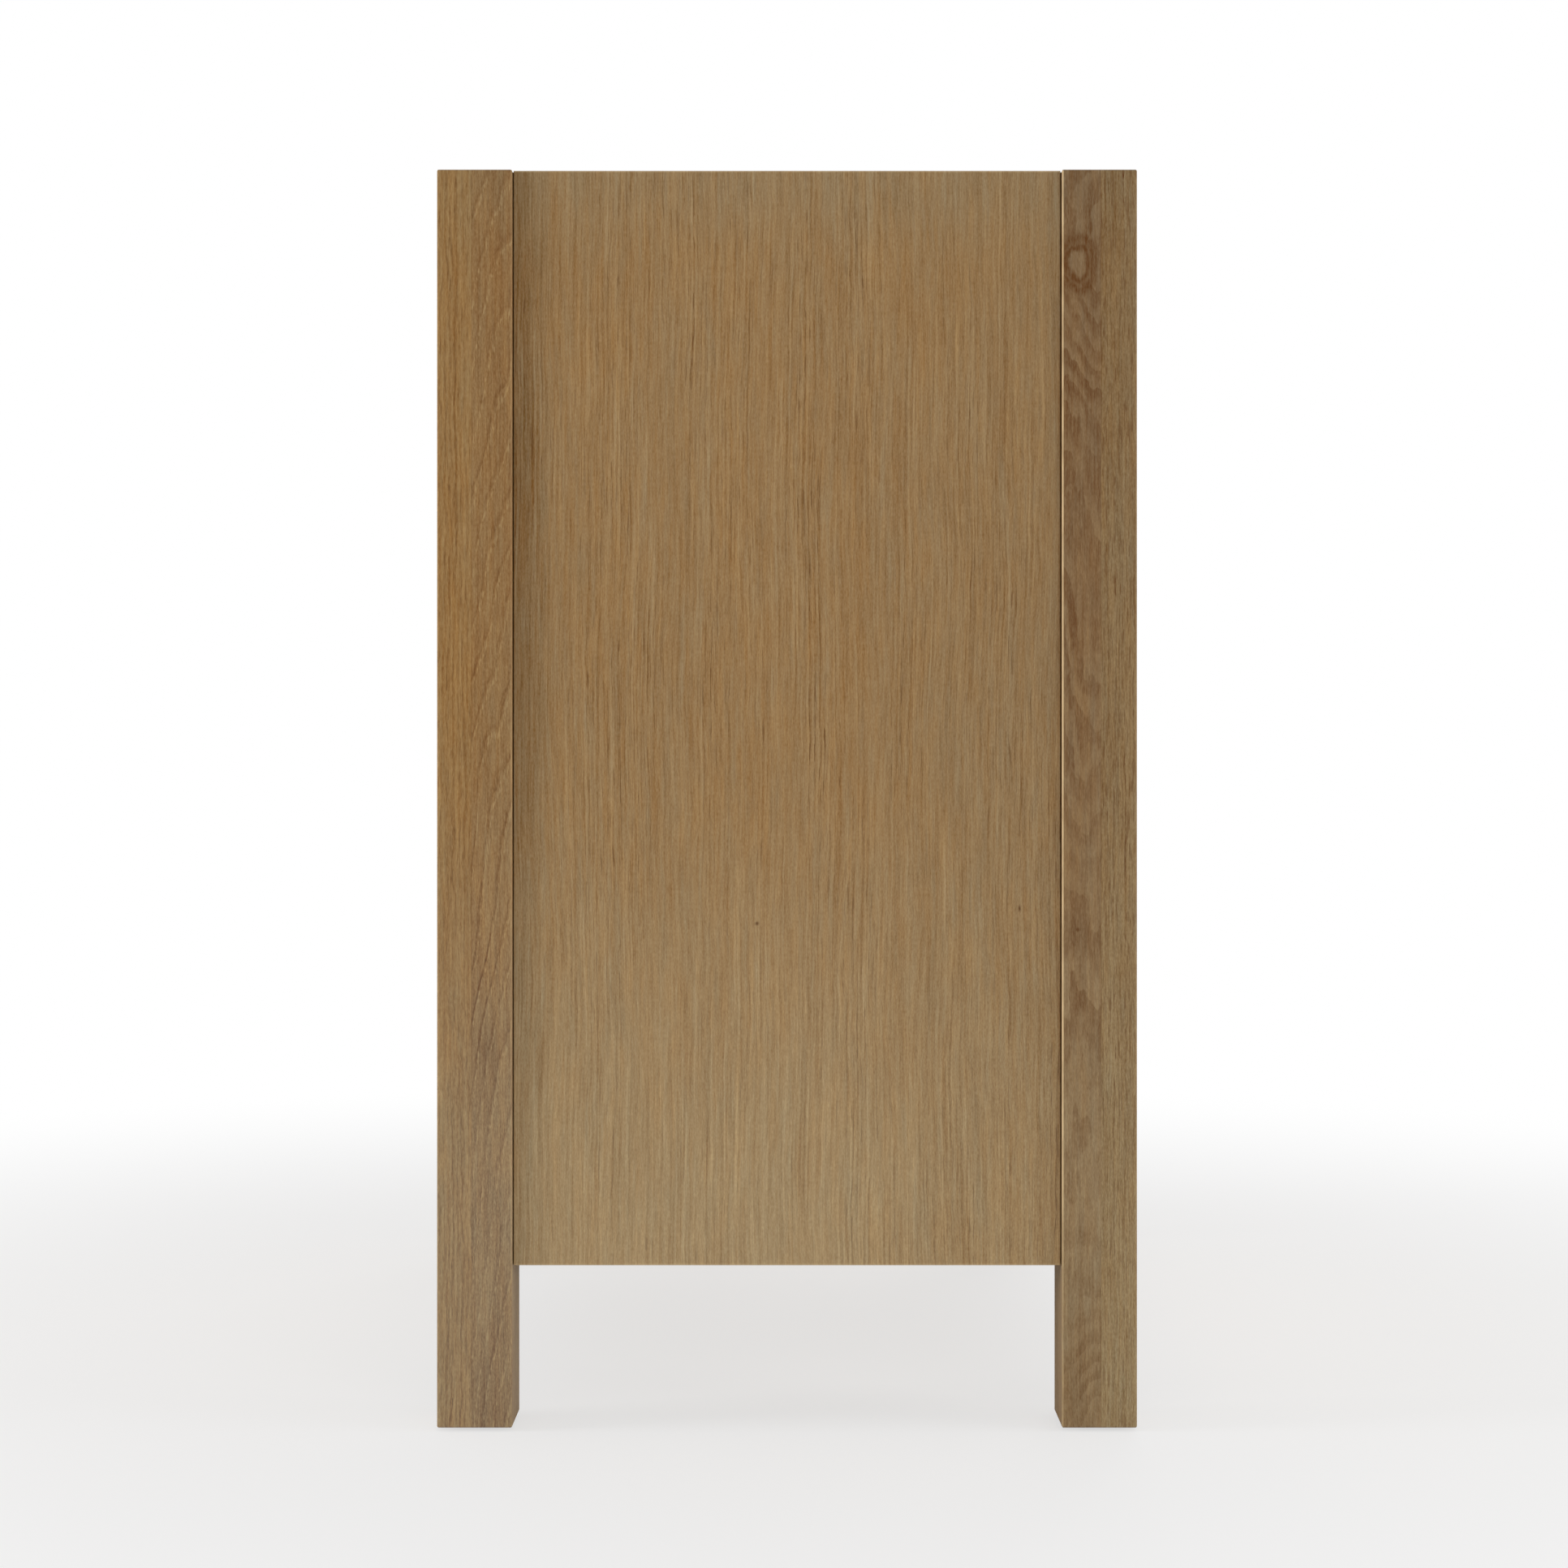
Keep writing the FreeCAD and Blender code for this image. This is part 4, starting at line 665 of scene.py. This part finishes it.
# Metals: fine drawing lines in the plating, and a little unevenness in the gloss
metals = {
    "drawn": {"scale": (4, 0.06, 4), "detail": 2},
    "drawnGloss": 0.16,
    "cloud": {"scale": (0.12, 0.12, 0.12), "detail": 3},
    "cloudGloss": 0.1,
    "cloudDull": 2,
    "bump": (0.05, 0.0001),
    "kinds": {
        "zinc": {"colour": paint((186, 189, 192)), "dull": paint((172, 175, 178)), "gloss": 0.36, "pieces": (
            "shelf_pins", "batten_screws", "stop_batten_screws", "runner_outer_screws", "left_runner_outer",
            "right_runner_outer", "left_door_strike", "right_door_strike", "drawer_front_screws",
            "left_runner_inner", "right_runner_inner", "runner_inner_screws", "left_runner_middle",
            "right_runner_middle")},
        "brass": {"colour": paint((196, 168, 108)), "dull": paint((166, 136, 80)), "gloss": 0.36, "pieces": (
            "hinge_pin_plates", "pin_plate_screws", "left_hinge_socket_plates", "left_socket_screws",
            "right_hinge_socket_plates", "right_socket_screws")},
        "nickel": {"colour": paint((180, 178, 174)), "dull": paint((150, 148, 144)), "gloss": 0.26,
                   "pieces": ("door_magnets",)},
    },
}

for name, metal in metals["kinds"].items():
    finish = Finish(f"satin_{name}", {"Metallic": 1.0})
    place = finish.place()
    drawn = finish.layer(place, metals["drawn"])
    cloud = finish.layer(place, metals["cloud"])
    dull = (cloud * metals["cloudDull"] + 0.5).rise(0, 1)
    gloss = metal["gloss"] + drawn * metals["drawnGloss"] + cloud * metals["cloudGloss"]
    finish.feed(finish.shader, {"Base Color": finish.mix(dull, metal["colour"], metal["dull"]),
                                "Roughness": gloss})
    finish.bump(drawn, *metals["bump"])
    finish.coat(*metal["pieces"])


# Plastics and rubber: fine moulded texture
plastics = {
    "grit": {"scale": (3, 3, 3), "detail": 2},
    "gritGloss": 0.2,
    "cloud": {"scale": (0.2, 0.2, 0.2), "detail": 2},
    "cloudWorn": 2,
    "specular": 0.4,
    "bump": (0.15, 0.0001),
    "kinds": {
        "nylon": {"colour": paint((226, 225, 220)), "worn": paint((206, 205, 200)), "gloss": 0.42,
                  "pieces": ("hinge_washers",)},
        "glide": {"colour": paint((66, 56, 48)), "worn": paint((88, 78, 70)), "gloss": 0.55,
                  "pieces": ("leg_glides",)},
        "bumper": {"colour": paint((216, 216, 212)), "worn": paint((198, 198, 192)), "gloss": 0.3,
                   "pieces": ("left_door_bumpers", "right_door_bumpers")},
    },
}

for name, plastic in plastics["kinds"].items():
    finish = Finish(f"moulded_{name}", {"Specular IOR Level": plastics["specular"]})
    place = finish.place()
    grit = finish.layer(place, plastics["grit"])
    cloud = finish.layer(place, plastics["cloud"])
    worn = (cloud * plastics["cloudWorn"] + 0.5).rise(0, 1)
    finish.feed(finish.shader, {"Base Color": finish.mix(worn, plastic["colour"], plastic["worn"]),
                                "Roughness": plastic["gloss"] + grit * plastics["gritGloss"]})
    finish.bump(grit, *plastics["bump"])
    finish.coat(*plastic["pieces"])
print("hardware finished")


# Studio: pale floor that fades to white, white surround, soft lamps
studio = {
    "floorSize": 40,
    "floor": {"Base Color": (0.86, 0.86, 0.86, 1), "Roughness": 0.9, "Specular IOR Level": 0.1},
    "floorWhite": 0.64,  # share of plain white near the unit, the rest shows its shadow
    "fade": (500, 1700),  # mm from the middle
    "white": (1, 1, 1, 1),
    "surround": 0.42,
    "lamps": {
        "front": {"at": (0.75, -2.9, 0.6), "size": 0.9, "power": 48},
        "right": {"at": (3.0, 0.6, 0.5), "size": 2.0, "power": 20},
        "left": {"at": (-2.9, 0.9, 0.7), "size": 1.4, "power": 26},
        "back": {"at": (0.9, 2.7, 0.5), "size": 1.4, "power": 34},
    },
    "target": (0, 0, 0.42),
}

bpy.ops.mesh.primitive_plane_add(size=studio["floorSize"], location=(0, 0, 0))
floor = bpy.context.object
floor.name = "studio_floor"
floorFinish = Finish("studio_floor", studio["floor"])
floor.data.materials.append(floorFinish.material)
x, y, z = floorFinish.place()
away = (x * x + y * y).to("SQRT").rise(*studio["fade"])
seen = floorFinish.add("ShaderNodeLightPath", {}, {}, "Is Camera Ray")
white = floorFinish.add("ShaderNodeEmission", {}, {"Color": studio["white"], "Strength": 1})
matt = Wire(floorFinish, floorFinish.shader.outputs[0])
whiteShare = seen * (studio["floorWhite"] + (1 - studio["floorWhite"]) * away)
surface = floorFinish.add("ShaderNodeMixShader", {}, {0: whiteShare, 1: matt, 2: white})
floorFinish.feed(floorFinish.find("OUTPUT_MATERIAL"), {"Surface": surface})

world = bpy.data.worlds.new("studio")
bpy.context.scene.world = world
world.use_nodes = True
sky = Nodes(world.node_tree)
toCamera, glossy, through = (sky.add("ShaderNodeLightPath", {}, {}, f"Is {ray} Ray")
                             for ray in ("Camera", "Glossy", "Transmission"))
direct = toCamera.to("MAXIMUM", glossy).to("MAXIMUM", through)
sky.feed(sky.find("BACKGROUND"), {"Color": studio["white"],
                                  "Strength": studio["surround"] + direct * (1 - studio["surround"])})

for name, lamp in studio["lamps"].items():
    bpy.ops.object.light_add(type="AREA", location=lamp["at"])
    light = bpy.context.object
    light.name = f"lamp_{name}"
    light.data.size = lamp["size"]
    light.data.energy = lamp["power"]
    aim = light.location - Vector(studio["target"])
    light.rotation_euler = aim.to_track_quat("Z", "Y").to_euler()
print("studio lit")


# Camera: level, square on to the right side
camera = {"at": (2.147, -0.002, 0.431), "turn": (90, 0, 90), "lens": 60.97, "sensor": 36}

bpy.ops.object.camera_add(location=camera["at"], rotation=[math.radians(angle) for angle in camera["turn"]])
view = bpy.context.object
view.data.lens = camera["lens"]
view.data.sensor_width = camera["sensor"]
bpy.context.scene.camera = view
